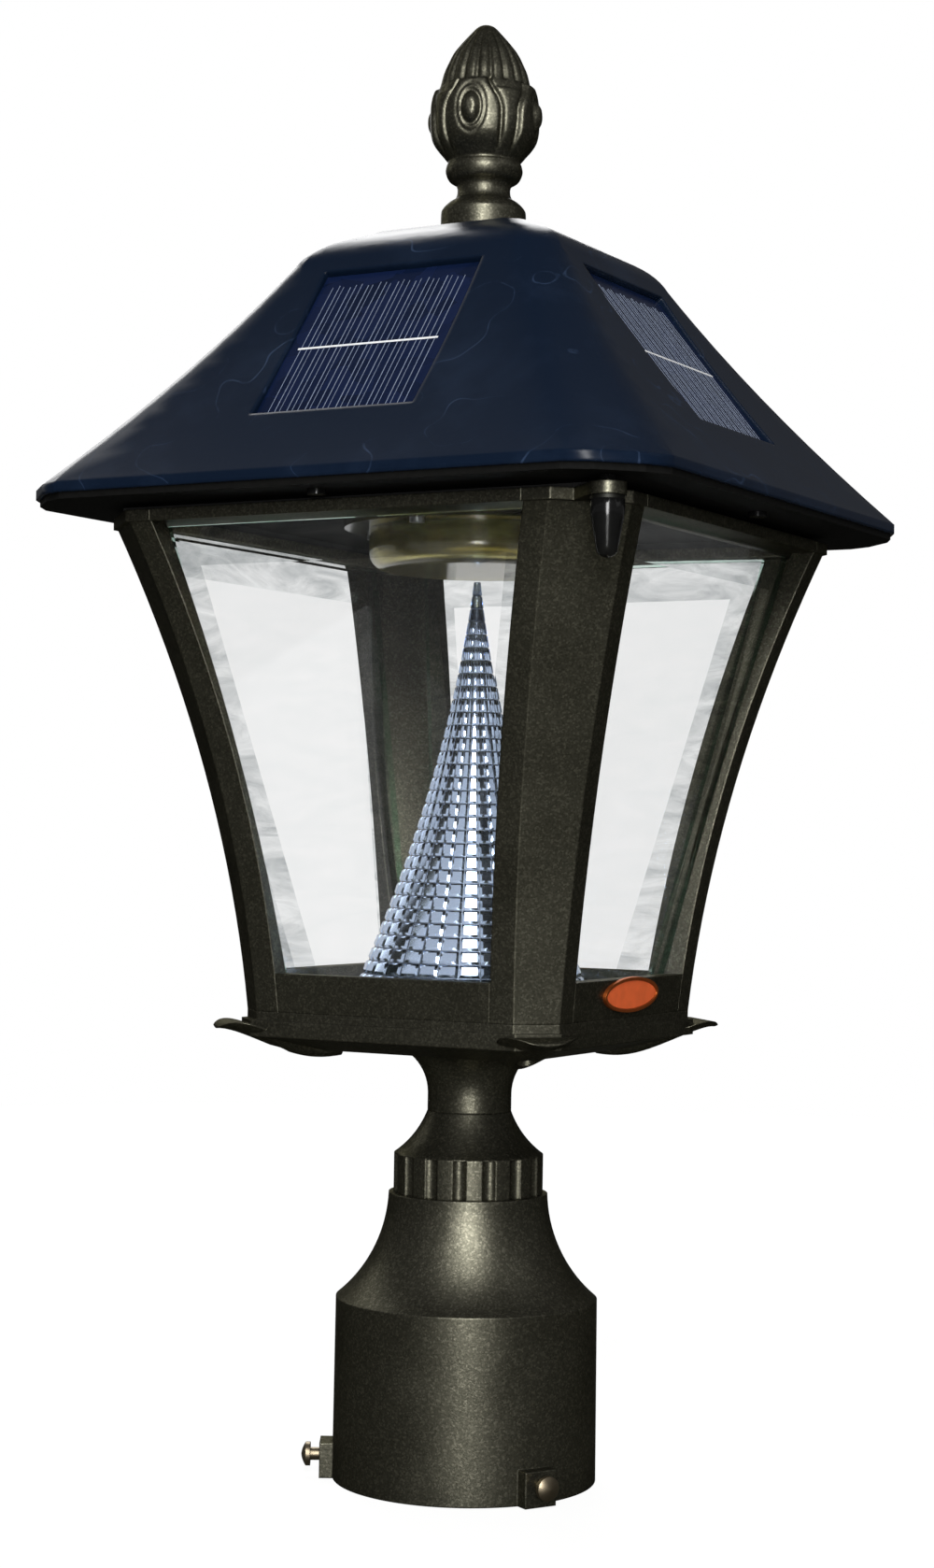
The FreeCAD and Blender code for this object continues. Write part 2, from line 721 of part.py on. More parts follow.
def post_section(sketch, share):
    """A post's section: two flanges joined by a chamfer, with flat seats for the glass inside."""
    face = post_half(share)
    cut = between("chamfer_foot", "chamfer_head", share)
    seat = between(GLASS_FOOT, GLASS_HEAD, share)
    wall = between("corner_wall_foot", "corner_wall_head", share)
    edge = f"({face} - {cut} - flange_width)"
    turn = f"({face} - {cut})"
    inside = f"(2 * {face} - {cut} - {wall} * sqrt(2) - {seat})"
    return outline(sketch, [
        (edge, f"-{face}"), (turn, f"-{face}"), (face, f"-{turn}"), (face, f"-{edge}"),
        (seat, f"-{edge}"), (seat, f"-{inside}"), (inside, f"-{seat}"), (edge, f"-{seat}"),
    ])


def corner_posts():
    """Four curved posts, each with a screwed foot and a cap; two caps carry a thumb screw's lug."""
    bodies = []
    names = ("front_right", "back_right", "back_left", "front_left")
    for step, name in enumerate(names):
        body = new_body(f"corner_post_{name}", step * 360 / SIDES)
        sections = []
        for level in range(POST_SECTIONS + 1):
            share = f"({level} / {POST_SECTIONS})"
            sketch = level_sketch(body, f"{BASE_TOP} + cage_height * {share}")
            sections.append(post_section(sketch, share))
        loft(body, sections)
        foot = level_sketch(body, BASE_TOP)
        reach = f"({GLASS_FOOT} + foot_block_bite)"
        rectangle(foot, FOOT_BLOCK, reach, f"-{reach}", f"-{FOOT_BLOCK}")
        pad(body, foot, "foot_block_height")
        cap = level_sketch(body, CAGE_TOP)
        turn = f"({CAP_HALF} - chamfer_head)"
        outline(cap, [
            (CAP_START, f"-{CAP_HALF}"), (turn, f"-{CAP_HALF}"),
            (CAP_HALF, f"-{turn}"), (CAP_HALF, f"-{CAP_START}"),
            (RAIL_INNER, f"-{CAP_START}"), (RAIL_INNER, f"-{RAIL_INNER}"), (CAP_START, f"-{RAIL_INNER}"),
        ])
        pad(body, cap, "cap_thick")
        hole = level_sketch(body, BASE_TOP)
        circle(hole, FOOT_SCREW, f"-{FOOT_SCREW}", "base_screw_radius + thread_clearance")
        pocket(body, hole, "base_screw_bite + thread_spare", along_normal=True)
        if step % 2 == 0:
            thumb_lug(body)
        bodies.append(body)
    return bodies


def thumb_lug(body):
    """The round-ended lug under the eave's corner, with the thumb screw's hole."""
    aside = "(lug_radius / sqrt(2))"
    back = "(lug_reach / sqrt(2))"
    near = f"({THUMB_PLACE} - {aside})"
    far = f"({THUMB_PLACE} + {aside})"
    turn = quarter("lug_radius")
    plan = level_sketch(body, CAGE_TOP)
    outline(plan, [
        (near, f"-{far}", turn, 1), (far, f"-{far}", turn, 1), (far, f"-{near}"),
        (f"{far} - {back}", f"-({near} - {back})"), (f"{near} - {back}", f"-({far} - {back})"),
    ])
    pad(body, plan, "cap_thick")
    hole = level_sketch(body, CAP_TOP)
    circle(hole, THUMB_PLACE, f"-{THUMB_PLACE}", "stud_radius + assembly_clearance")
    pocket(body, hole, "cap_thick")


def rails():
    """Bars that close the cage between the posts, below the glass and above it."""
    bodies = []
    share = "(lower_rail_height / cage_height)"
    for step, name in enumerate(("front", "right", "back", "left")):
        lower = new_body(f"lower_rail_{name}", step * 360 / SIDES)
        sections = []
        for part, height in (("0", BASE_TOP), (share, f"{BASE_TOP} + lower_rail_height")):
            face = post_half(part)
            cut = between("chamfer_foot", "chamfer_head", part)
            end = f"({face} - {cut} - flange_width - joint_gap)"
            seat = between(GLASS_FOOT, GLASS_HEAD, part)
            sketch = level_sketch(lower, height)
            sections.append(rectangle(sketch, f"-{end}", end, f"-{face}", f"-{seat}"))
        loft(lower, sections, ruled=True)
        upper = new_body(f"upper_rail_{name}", step * 360 / SIDES)
        end = f"({CAP_START} - joint_gap)"
        plan = level_sketch(upper, CAGE_TOP)
        rectangle(plan, f"-{end}", end, f"-{CAP_HALF}", f"-{RAIL_INNER}")
        pad(upper, plan, "cap_thick")
        bodies += [lower, upper]
    return bodies


def glass_panes():
    """Flat panes that lean with the posts, each with a wide bevel round its outer face."""
    bodies = []
    half_head = f"({CAP_START} + glass_overlap)"
    low = f"(glass_end_gap / cos({GLASS_TILT}))"
    high = f"((cage_height - glass_end_gap - glass_thick * sin({GLASS_TILT})) / cos({GLASS_TILT}))"
    for step, name in enumerate(("front", "right", "back", "left")):
        body = new_body(f"glass_pane_{name}", step * 360 / SIDES)
        sketches = []
        for depth, inset in (("glass_thick", "0"), ("glass_bevel_depth", "0"),
                             ("0", "glass_bevel_width")):
            out = f"({GLASS_FOOT} - joint_gap - {depth} * cos({GLASS_TILT}))"
            rise = f"({BASE_TOP} + {depth} * sin({GLASS_TILT}))"
            sketch = new_sketch(body, "XZ_Plane", ("0", rise, out), GLASS_TILT)
            outline(sketch, [
                (f"-({GLASS_HALF_FOOT} - {inset})", f"{low} + {inset}"),
                (f"{GLASS_HALF_FOOT} - {inset}", f"{low} + {inset}"),
                (f"{half_head} - {inset}", f"{high} - {inset}"),
                (f"-({half_head} - {inset})", f"{high} - {inset}"),
            ])
            sketches.append(sketch)
        pad(body, sketches[0], "glass_thick - glass_bevel_depth")
        loft(body, sketches[1:], ruled=True)
        bodies.append(body)
    return bodies


def floor_and_cone():
    """The floor plate and the swept mirror cone that it carries."""
    plate = new_body("floor_plate")
    plan = level_sketch(plate, BASE_TOP)
    chamfered_square(plan, FLOOR_HALF, FLOOR_CUT)
    pad(plate, plan, "floor_thick")
    middle = level_sketch(plate, FLOOR_TOP)
    circle(middle, "0", "0", "floor_hole_radius")
    pocket(plate, middle, "floor_thick")
    screw_plan = level_sketch(plate, FLOOR_TOP)
    circle(screw_plan, "cone_screw_place", "cone_screw_place", "cone_screw_radius + assembly_clearance")
    hole = pocket(plate, screw_plan, "floor_thick")
    polar(plate, [hole], SIDES)
    cone = new_body("mirror_cone")
    profile = upright_sketch(cone)
    outline(profile, [
        ("cone_recess_radius", FLOOR_TOP),
        (CONE_RADIUS, FLOOR_TOP),
        (CONE_RADIUS, f"{FLOOR_TOP} + cone_rim_height", "cone_bow", -1),
        ("cone_tip_radius", CONE_TIP),
        ("0", CONE_TIP),
        ("0", f"{FLOOR_TOP} + cone_recess_height"),
        ("cone_recess_radius", f"{FLOOR_TOP} + cone_recess_height"),
    ])
    revolve(cone, profile)
    tapped = level_sketch(cone, FLOOR_TOP)
    circle(tapped, "cone_screw_place", "cone_screw_place", "cone_screw_radius + thread_clearance")
    thread = pocket(cone, tapped, "cone_screw_length", along_normal=True)
    polar(cone, [thread], SIDES)
    screws = new_body("cone_screws")
    one = screw(screws, ("cone_screw_place", "cone_screw_place"), f"{BASE_TOP} + cone_screw_length",
                BASE_TOP, f"{BASE_TOP} - cone_screw_head_height",
                "cone_screw_radius", "cone_screw_head_radius")
    polar(screws, [one], SIDES)
    return [plate, cone, screws]


def thumb_screws():
    """Acorn knobs with studs that reach up into the roof, each under a loose washer."""
    bodies = []
    place = (THUMB_PLACE, f"-{THUMB_PLACE}")
    for step in range(2):
        washer = new_body(f"thumb_washer_{step + 1}", step * 180)
        section = upright_sketch(washer, *place)
        rectangle(section, "stud_radius + thread_clearance", "thumb_washer_radius",
                  WASHER_BOTTOM, CAGE_TOP)
        revolve(washer, section)
        knob = new_body(f"thumb_screw_{step + 1}", step * 180)
        profile = upright_sketch(knob, *place)
        outline(profile, [
            ("0", KNOB_BOTTOM, "knob_dome_bow", 1),
            ("knob_tip_radius", f"{KNOB_BOTTOM} + knob_dome_height"),
            ("knob_radius", f"{WASHER_BOTTOM} - knob_collar_height"),
            ("knob_radius", WASHER_BOTTOM),
            ("stud_radius", WASHER_BOTTOM),
            ("stud_radius", STUD_TOP),
            ("0", STUD_TOP),
        ])
        revolve(knob, profile)
        bodies += [washer, knob]
    return bodies


def gasket_strips():
    """Sealing strips that the roof rests on, each butted against the side of the next."""
    body = new_body("gasket_strips")
    plan = level_sketch(body, CAP_TOP)
    outer = f"({GASKET_INNER} + gasket_width)"
    rectangle(plan, f"-{outer}", f"{GASKET_INNER} - joint_gap", f"-{outer}", f"-{GASKET_INNER}")
    strip = pad(body, plan, "gasket_thick")
    polar(body, [strip], SIDES)
    return [body]


def roof_half(share):
    """Half width of the roof's slope at a share of the height from eave to shoulder."""
    swept = f"({share} + roof_sweep * {share} * (1 - {share}))"
    return f"({EAVE_HALF} - {SLOPE_RUN} * {swept})"


def hipped_square(sketch, half):
    """The roof's plan: four straight sides, each corner cut in three facets along the hip."""
    start = f"({half} * (1 - hip_start_share))"
    crest = f"({half} * (1 - hip_crest_share))"
    drop = f"({half} * (1 - hip_drop_share))"
    corner = [(start, f"-{half}"), (crest, f"-{drop}"), (drop, f"-{crest}"), (half, f"-{start}")]
    points = []
    for turn in range(SIDES):
        points += corner
        corner = [(negative(y), x) for x, y in corner]
    return outline(sketch, points)


def negative(text):
    """A formula with its sign changed."""
    return text[1:] if text.startswith("-") else f"-{text}"


def slope_sketch(body, depth):
    """A sketch in the plane of the roof's front slope, sunk below it by a depth."""
    rise = f"({EAVE_TOP} + recess_rise - ({depth}) * sin({PANEL_TILT}))"
    out = f"({roof_half(PANEL_SHARE)} - ({depth}) * cos({PANEL_TILT}))"
    return new_sketch(body, "XZ_Plane", ("0", rise, out), PANEL_TILT, tilt_axis=(-1, 0, 0))


def boss_height(half):
    """How far a boss rises from the rim to meet the slope's inner face, where that is so wide."""
    return f"(rim_height + slope_rise * ({EAVE_HALF} - roof_wall - {half}) / {SLOPE_RUN})"


def roof_shell():
    """The hollow hipped roof, with a panel recess in each slope and bosses for its screws."""
    body = new_body("roof_shell")
    rim = level_sketch(body, RIM_BOTTOM)
    hipped_square(rim, EAVE_HALF)
    pad(body, rim, "rim_height")
    slope = []
    hollow = []
    for level in range(ROOF_SECTIONS + 1):
        share = f"({level} / {ROOF_SECTIONS})"
        height = f"{EAVE_TOP} + slope_rise * {share}"
        slope.append(hipped_square(level_sketch(body, height), roof_half(share)))
        inner = f"({roof_half(share)} - roof_wall)"
        hollow.append(hipped_square(level_sketch(body, height), inner))
    loft(body, slope)
    crown = [hipped_square(level_sketch(body, height), half) for half, height in (
        ("shoulder_half", SHOULDER), ("bend_half", BEND), ("brow_half", BROW), ("crown_half", CROWN))]
    loft(body, crown)
    mouth = level_sketch(body, EAVE_TOP)
    hipped_square(mouth, f"({EAVE_HALF} - roof_wall)")
    pocket(body, mouth, "rim_height")
    loft(body, hollow, "SubtractiveLoft")
    lug_plan = level_sketch(body, RIM_BOTTOM)
    circle(lug_plan, THUMB_PLACE, f"-{THUMB_PLACE}", "lug_boss_radius")
    hip_half = f"({THUMB_PLACE} / (1 - (hip_crest_share + hip_drop_share) / 2))"
    lug_boss = pad(body, lug_plan, boss_height(hip_half))
    polar(body, [lug_boss], 2)
    plate_plan = level_sketch(body, RIM_BOTTOM)
    circle(plate_plan, "0", f"-{PLATE_SCREW}", "plate_screw_boss_radius")
    plate_boss = pad(body, plate_plan, boss_height(PLATE_SCREW))
    polar(body, [plate_boss], SIDES)
    stud_plan = level_sketch(body, RIM_BOTTOM)
    circle(stud_plan, THUMB_PLACE, f"-{THUMB_PLACE}", "stud_radius + assembly_clearance")
    stud_hole = pocket(body, stud_plan, "stud_entry + slide_clearance", along_normal=True)
    polar(body, [stud_hole], 2)
    tapped = level_sketch(body, RIM_BOTTOM)
    circle(tapped, "0", f"-{PLATE_SCREW}", "plate_screw_radius + thread_clearance")
    thread = pocket(body, tapped, "plate_screw_bite", along_normal=True)
    window = slope_sketch(body, "-recess_lead")
    rectangle(window, "-recess_width / 2", "recess_width / 2", "-recess_length / 2", "recess_length / 2")
    recess = pocket(body, window, "recess_lead + recess_depth")
    polar(body, [thread, recess], SIDES)
    top = level_sketch(body, CROWN)
    circle(top, "0", "0", "finial_stud_radius + assembly_clearance")
    pocket(body, top, "bend_rise + brow_rise + crown_rise")
    return [body]


def solar_panels():
    """A thin panel bedded in the recess of each slope."""
    bodies = []
    half_width = "(recess_width / 2 - panel_gap)"
    half_length = "(recess_length / 2 - panel_gap)"
    for step, name in enumerate(("front", "right", "back", "left")):
        body = new_body(f"solar_panel_{name}", step * 360 / SIDES)
        plan = slope_sketch(body, "recess_depth")
        rectangle(plan, f"-{half_width}", half_width, f"-{half_length}", half_length)
        pad(body, plan, "panel_thick")
        bodies.append(body)
    return bodies


def finial_parts():
    """The bud finial, with flutes round its upper half, and the stud, washer and nut that hold it."""
    bud = new_body("finial")
    stud_hole = "(finial_stud_radius + thread_clearance)"
    stud_top = f"({CROWN} + finial_stud_bite)"
    base = f"({CROWN} + finial_base_height)"
    neck_bottom = f"({base} + finial_fillet_height)"
    neck_top = f"({neck_bottom} + finial_neck_height)"
    bead_foot = f"({neck_top} + finial_bead_foot_height)"
    bead_top = f"({bead_foot} + finial_bead_height)"
    waist = f"({bead_top} + finial_waist_height)"
    belly_bottom = f"({waist} + finial_belly_rise)"
    belly_top = f"({belly_bottom} + finial_belly_height)"
    bud_foot = f"({belly_top} + finial_bud_foot_height)"
    point = f"({bud_foot} + finial_bud_height)"
    profile = upright_sketch(bud)
    outline(profile, [
        (stud_hole, CROWN),
        ("finial_base_radius", CROWN),
        ("finial_base_radius", base, "finial_base_bow", 1),
        ("finial_neck_radius", neck_bottom),
        ("finial_neck_radius", neck_top),
        ("finial_bead_foot_radius", bead_foot, "finial_bead_bow", 1),
        ("finial_bead_radius", bead_top),
        ("finial_waist_radius", waist, "finial_belly_bow", 1),
        ("finial_belly_radius", belly_bottom),
        ("finial_belly_radius", belly_top),
        ("finial_bud_radius", bud_foot, "finial_bud_bow", 1),
        ("finial_point_radius", point),
        ("0", point),
        ("0", stud_top),
        (stud_hole, stud_top),
    ])
    revolve(bud, profile)
    groove_plan = level_sketch(bud, bud_foot)
    circle(groove_plan, "finial_bud_radius", "0", "bud_flute_radius")
    groove = pocket(bud, groove_plan, "finial_bud_height", along_normal=True)
    polar(bud, [groove], BUD_FLUTES)
    washer_bottom = f"({SHOULDER} - finial_washer_thick)"
    nut_bottom = f"({washer_bottom} - finial_nut_height)"
    stud = new_body("finial_stud")
    rod = upright_sketch(stud)
    rectangle(rod, "0", "finial_stud_radius", f"{nut_bottom} - thread_spare", stud_top)
    revolve(stud, rod)
    washer = new_body("finial_washer")
    section = upright_sketch(washer)
    rectangle(section, stud_hole, "finial_washer_radius", washer_bottom, SHOULDER)
    revolve(washer, section)
    nut = new_body("finial_nut")
    plan = level_sketch(nut, nut_bottom)
    hexagon(plan, "finial_nut_flats")
    circle(plan, "0", "0", stud_hole)
    pad(nut, plan, "finial_nut_height")
    return [bud, stud, washer, nut]


def board_corners():
    """The four screw places of the circuit board."""
    across = "(board_length / 2 - board_screw_inset)"
    deep = "(board_width / 2 - board_screw_inset)"
    return [(f"{sign_x}{across}", f"{BOARD_MIDDLE} {sign_y} {deep}")
            for sign_x in ("", "-") for sign_y in ("+", "-")]


def roof_underplate():
    """The plate that closes the roof from below, with standoffs and the holes that pass it."""
    body = new_body("roof_underplate")
    plan = level_sketch(body, UNDERPLATE_BOTTOM)
    hipped_square(plan, f"({EAVE_HALF} - underplate_inset)")
    pad(body, plan, "underplate_thick")
    posts = level_sketch(body, RIM_BOTTOM)
    for x, y in board_corners():
        circle(posts, x, y, "board_standoff_radius")
    pad(body, posts, "board_standoff")
    tapped = level_sketch(body, BOARD_BOTTOM)
    for x, y in board_corners():
        circle(tapped, x, y, "board_screw_radius + thread_clearance")
    pocket(body, tapped, "board_standoff")
    slots = level_sketch(body, RIM_BOTTOM)
    circle(slots, "0", "0", "wire_hole_radius")
    rectangle(slots, f"-{SLOT_LENGTH} / 2", f"{SLOT_LENGTH} / 2",
              f"{SWITCH_MIDDLE} - {SLOT_WIDTH} / 2", f"{SWITCH_MIDDLE} + {SLOT_WIDTH} / 2")
    pocket(body, slots, "underplate_thick")
    stud_plan = level_sketch(body, RIM_BOTTOM)
    circle(stud_plan, THUMB_PLACE, f"-{THUMB_PLACE}", "stud_radius + assembly_clearance")
    stud_hole = pocket(body, stud_plan, "underplate_thick")
    polar(body, [stud_hole], 2)
    screw_plan = level_sketch(body, RIM_BOTTOM)
    circle(screw_plan, "0", f"-{PLATE_SCREW}", "plate_screw_radius + assembly_clearance")
    circle(screw_plan, LENS_SCREW, "0", "lens_screw_radius + thread_clearance")
    hole = pocket(body, screw_plan, "underplate_thick")
    polar(body, [hole], SIDES)
    return [body]


def underplate_screws():
    """Screws that hold the underplate to the roof's bosses."""
    body = new_body("underplate_screws")
    one = screw(body, ("0", f"-{PLATE_SCREW}"), f"{RIM_BOTTOM} + plate_screw_bite - slide_clearance",
                UNDERPLATE_BOTTOM, f"{UNDERPLATE_BOTTOM} - plate_screw_head_height",
                "plate_screw_radius", "plate_screw_head_radius")
    polar(body, [one], SIDES)
    return [body]


def lamp_parts():
    """The clear lens with its screws, and the board of LEDs that it covers."""
    lens = new_body("led_lens")
    profile = upright_sketch(lens)
    flange_bottom = f"({UNDERPLATE_BOTTOM} - lens_flange_thick)"
    outline(profile, [
        (LENS_INNER, UNDERPLATE_BOTTOM),
        (LENS_INNER, f"{LENS_BOTTOM} + lens_round", quarter("(lens_round - lens_wall)"), -1),
        ("lens_radius - lens_round", f"{LENS_BOTTOM} + lens_wall"),
        ("0", f"{LENS_BOTTOM} + lens_wall"),
        ("0", LENS_BOTTOM),
        ("lens_radius - lens_round", LENS_BOTTOM, quarter("lens_round"), 1),
        ("lens_radius", f"{LENS_BOTTOM} + lens_round"),
        ("lens_radius", flange_bottom),
        (LENS_FLANGE, flange_bottom),
        (LENS_FLANGE, UNDERPLATE_BOTTOM),
    ])
    revolve(lens, profile)
    hole_plan = level_sketch(lens, UNDERPLATE_BOTTOM)
    circle(hole_plan, LENS_SCREW, "0", "lens_screw_radius + assembly_clearance")
    hole = pocket(lens, hole_plan, "lens_flange_thick")
    polar(lens, [hole], SIDES)
    screws = new_body("lens_screws")
    one = screw(screws, (LENS_SCREW, "0"), RIM_BOTTOM, flange_bottom,
                f"{flange_bottom} - lens_screw_head_height", "lens_screw_radius", "lens_screw_head_radius")
    polar(screws, [one], SIDES)
    board = new_body("led_board")
    board_bottom = f"({UNDERPLATE_BOTTOM} - led_board_thick)"
    plan = level_sketch(board, board_bottom)
    circle(plan, "0", "0", f"{LENS_INNER} - led_board_margin")
    pad(board, plan, "led_board_thick")
    leds = new_body("leds")
    spots = level_sketch(leds, board_bottom)
    circle(spots, "0", "0", "led_radius")
    for step in range(LED_RING):
        angle = f"{step * 360 // LED_RING} deg"
        circle(spots, f"led_ring_radius * cos({angle})", f"led_ring_radius * sin({angle})", "led_radius")
    pad(leds, spots, "led_height", backwards=True)
    return [lens, screws, board, leds]


def electronics():
    """The charging board on its standoffs, and two cells in their holder."""
    board = new_body("circuit_board")
    plan = level_sketch(board, BOARD_BOTTOM)
    rectangle(plan, "-board_length / 2", "board_length / 2",
              f"{BOARD_MIDDLE} - board_width / 2", f"{BOARD_MIDDLE} + board_width / 2")
    for x, y in board_corners():
        circle(plan, x, y, "board_screw_radius + assembly_clearance")
    pad(board, plan, "board_thick")
    board_top = f"({BOARD_BOTTOM} + board_thick)"
    screws = new_body("board_screws")
    for place in board_corners():
        screw(screws, place, RIM_BOTTOM, board_top, f"{board_top} + board_screw_head_height",
              "board_screw_radius", "board_screw_head_radius")
    holder = new_body("battery_holder")
    half_length = "(cell_length / 2 + cell_gap + holder_wall)"
    tray = level_sketch(holder, RIM_BOTTOM)
    rectangle(tray, f"-{half_length}", half_length,
              f"{HOLDER_MIDDLE} - {HOLDER_HALF}", f"{HOLDER_MIDDLE} + {HOLDER_HALF}")
    pad(holder, tray, "holder_height")
    room = level_sketch(holder, f"{RIM_BOTTOM} + holder_height")
    room_length = f"({half_length} - holder_wall)"
    room_half = f"({HOLDER_HALF} - holder_wall)"
    rectangle(room, f"-{room_length}", room_length,
              f"{HOLDER_MIDDLE} - {room_half}", f"{HOLDER_MIDDLE} + {room_half}")
    pocket(holder, room, "holder_height - holder_wall")
    cells = new_body("battery_cells")
    side = "(cell_radius + cell_gap / 2)"
    for sign in ("-", "+"):
        height = f"{RIM_BOTTOM} + holder_wall + cell_radius"
        ends = new_sketch(cells, "YZ_Plane", (f"{HOLDER_MIDDLE} {sign} {side}", height, "-cell_length / 2"))
        circle(ends, "0", "0", "cell_radius")
        pad(cells, ends, "cell_length")
    return [board, screws, holder, cells]


def power_switch():
    """The slide switch beside the lens: a housing above the underplate and a slider through it."""
    housing = new_body("switch_housing")
    plan = level_sketch(housing, RIM_BOTTOM)
    rectangle(plan, "-switch_length / 2", "switch_length / 2",
              f"{SWITCH_MIDDLE} - switch_width / 2", f"{SWITCH_MIDDLE} + switch_width / 2")
    pad(housing, plan, "switch_height")
    slot = level_sketch(housing, RIM_BOTTOM)
    rectangle(slot, f"-{SLOT_LENGTH} / 2", f"{SLOT_LENGTH} / 2",
              f"{SWITCH_MIDDLE} - {SLOT_WIDTH} / 2", f"{SWITCH_MIDDLE} + {SLOT_WIDTH} / 2")
    pocket(housing, slot, "switch_slot_depth", along_normal=True)
    slider = new_body("switch_slider")
    foot = level_sketch(slider, f"{UNDERPLATE_BOTTOM} - slider_proud")
    rectangle(foot, "-(slider_length + switch_travel) / 2", "(slider_length - switch_travel) / 2",
              f"{SWITCH_MIDDLE} - slider_width / 2", f"{SWITCH_MIDDLE} + slider_width / 2")
    pad(slider, foot, "slider_proud + underplate_thick + slider_entry")
    return [housing, slider]


def check(nodes):
    """Stops where an object failed or a shape is empty or broken."""
    for item in doc.Objects:
        if "Invalid" in item.State or "Error" in item.State:
            raise RuntimeError(f"{item.Label} did not compute: {item.State}")
    for node in nodes:
        if node.Shape.isNull() or not node.Shape.isValid() or not node.Shape.Solids:
            raise RuntimeError(f"{node.Label} has no sound shape")


SECTIONS = (fitter_cup, set_screws, fluted_collar, nipple_parts, base_pan, base_screws, corner_posts,
            rails, glass_panes, floor_and_cone, thumb_screws, gasket_strips, roof_shell, solar_panels,
            finial_parts, roof_underplate, underplate_screws, lamp_parts, electronics, power_switch)

pieces = []
for build in SECTIONS:
    pieces += build()
doc.recompute()
check(pieces)
os.makedirs("parts", exist_ok=True)
for piece in pieces:
    piece.Shape.exportStep(f"parts/{piece.Label}.step")
    print(piece.Label, len(piece.Shape.Solids), round(piece.Shape.Volume))
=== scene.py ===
import math

import bmesh
import bpy
from mathutils import Matrix, Vector


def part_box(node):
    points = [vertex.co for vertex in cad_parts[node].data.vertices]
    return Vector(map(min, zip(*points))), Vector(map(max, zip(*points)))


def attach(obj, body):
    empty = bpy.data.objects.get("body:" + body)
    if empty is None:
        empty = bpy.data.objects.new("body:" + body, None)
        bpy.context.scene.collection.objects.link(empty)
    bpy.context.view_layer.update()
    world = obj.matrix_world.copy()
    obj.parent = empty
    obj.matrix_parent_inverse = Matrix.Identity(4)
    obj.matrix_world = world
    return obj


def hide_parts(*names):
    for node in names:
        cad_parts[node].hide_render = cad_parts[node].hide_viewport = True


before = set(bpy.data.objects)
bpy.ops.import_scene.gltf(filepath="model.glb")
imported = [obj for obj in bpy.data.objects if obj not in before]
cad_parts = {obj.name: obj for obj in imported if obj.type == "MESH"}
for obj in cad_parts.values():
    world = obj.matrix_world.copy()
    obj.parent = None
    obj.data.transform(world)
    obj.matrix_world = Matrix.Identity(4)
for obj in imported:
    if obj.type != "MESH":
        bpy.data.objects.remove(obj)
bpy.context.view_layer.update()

bl_info = {
    "name": "Solar post lantern",
    "version": (1, 0, 0),
    "blender": (4, 5, 0),
    "location": "3D View > Sidebar > Lantern",
    "description": "Dresses the packed lantern: finishes, finial, mirror facets, panels and stage",
    "category": "Object",
}

MM = 0.001
MERGE = 0.002 * MM
SIDES = ("front", "right", "back", "left")
CORNERS = ("front_right", "back_right", "back_left", "front_left")
COAT_NAME = "black powder coat on cast aluminium"
WHITE = (1.0, 1.0, 1.0, 1.0)

# Camera: height of the photograph in pixels, and a film width to count the focal length by
PHOTO_HEIGHT = 1678
SENSOR_MM = 36.0

# Lights: name, setting of the power, width and height in metres, azimuth and elevation in degrees,
# and distance in metres from a point on the lantern's axis
LIGHTS = (
    ("key_light", "key_power", (0.3, 1.2), 30, 17, 1.25),
    ("rim_light", "rim_power", (0.3, 0.8), -100, 30, 1.2),
    ("back_light", "back_power", (0.8, 1.0), 219, 35, 1.4),
    ("fill_light", "fill_power", (0.6, 0.6), 100, 35, 1.3))
LIGHT_AIM = Vector((0, 0, 0.24))

# Floor: half its width, its gap below the cup, where it starts and ends to run into white, and
# how white and how bright it is before that
FLOOR_HALF = 12
FLOOR_DROP = 0.05 * MM
FADE_START, FADE_END = 0.25, 1.2
FLOOR_WHITE, FLOOR_GLOW = 0.6, 1.5

# How much of the white background a mirror behind glass shows
MIRROR_SHARE = 0.7

# The bud's outline: radius and height above the crown, in millimetres
BUD_OUTLINE = (
    (13.7, 0.0), (13.7, 8.0), (13.2, 10.0), (11.4, 11.9), (9.2, 13.5), (8.5, 15.8), (9.0, 18.0),
    (11.3, 19.6), (12.4, 22.1), (12.1, 24.2), (11.7, 25.3), (12.8, 26.9), (14.5, 29.7),
    (15.7, 32.7), (16.3, 36.3), (16.3, 42.3), (15.7, 46.3), (14.9, 48.9), (14.4, 50.5),
    (13.5, 54.0), (12.2, 57.0), (10.6, 60.2), (8.4, 63.1), (5.8, 66.1), (2.8, 69.2), (0.0, 70.2))
OUTLINE_CUTS = 7

# Heights on the bud, in millimetres above the crown
LEAF_BOTTOM, LEAF_TOP, SEPAL_TOP = 25.8, 49.4, 46.4
BOSS_HEIGHT, FLUTE_FOOT, BUD_TIP = 39.4, 48.6, 69.3

# A leaf's half angle, and how far it narrows to its tip
LEAF_HALF, LEAF_NARROWING = math.radians(33), 0.45
# Carving, in shares of a leaf's lift, and in millimetres along the belly
CREASE_DEPTH, CREASE_PLACE, CREASE_WIDTH = 0.9, -0.55, 0.5
SEPAL_LIFT, TOP_EASE = 0.7, 0.7
BOSS_HALF_WIDTH, BOSS_HALF_HEIGHT, BOSS_LIFT, BOSS_EASE = 2.9, 4.9, 0.9, 0.6
# Rings round a boss: place and width in shares of its size, and depth
BOSS_RINGS = ((1.1, 0.14, 0.8), (1.55, 0.13, 0.45))
# Flutes: how narrow they are, how long they take to run out at the tip, and the uncarved axis
FLUTE_SHARPNESS, FLUTE_FADE, AXIS_GAP = 6, 9, 0.3 * MM

# Silver fingers: drift sideways in shares of their pitch, uneven ends in shares of the panel's half
# length, and the turn from one finger to the next in both waves
DRIFT, DRIFT_TURN = 0.14, 2.4
RAGGED, RAGGED_TURN = 0.02, 1.7
RIBBON_THICKNESS = 1.5

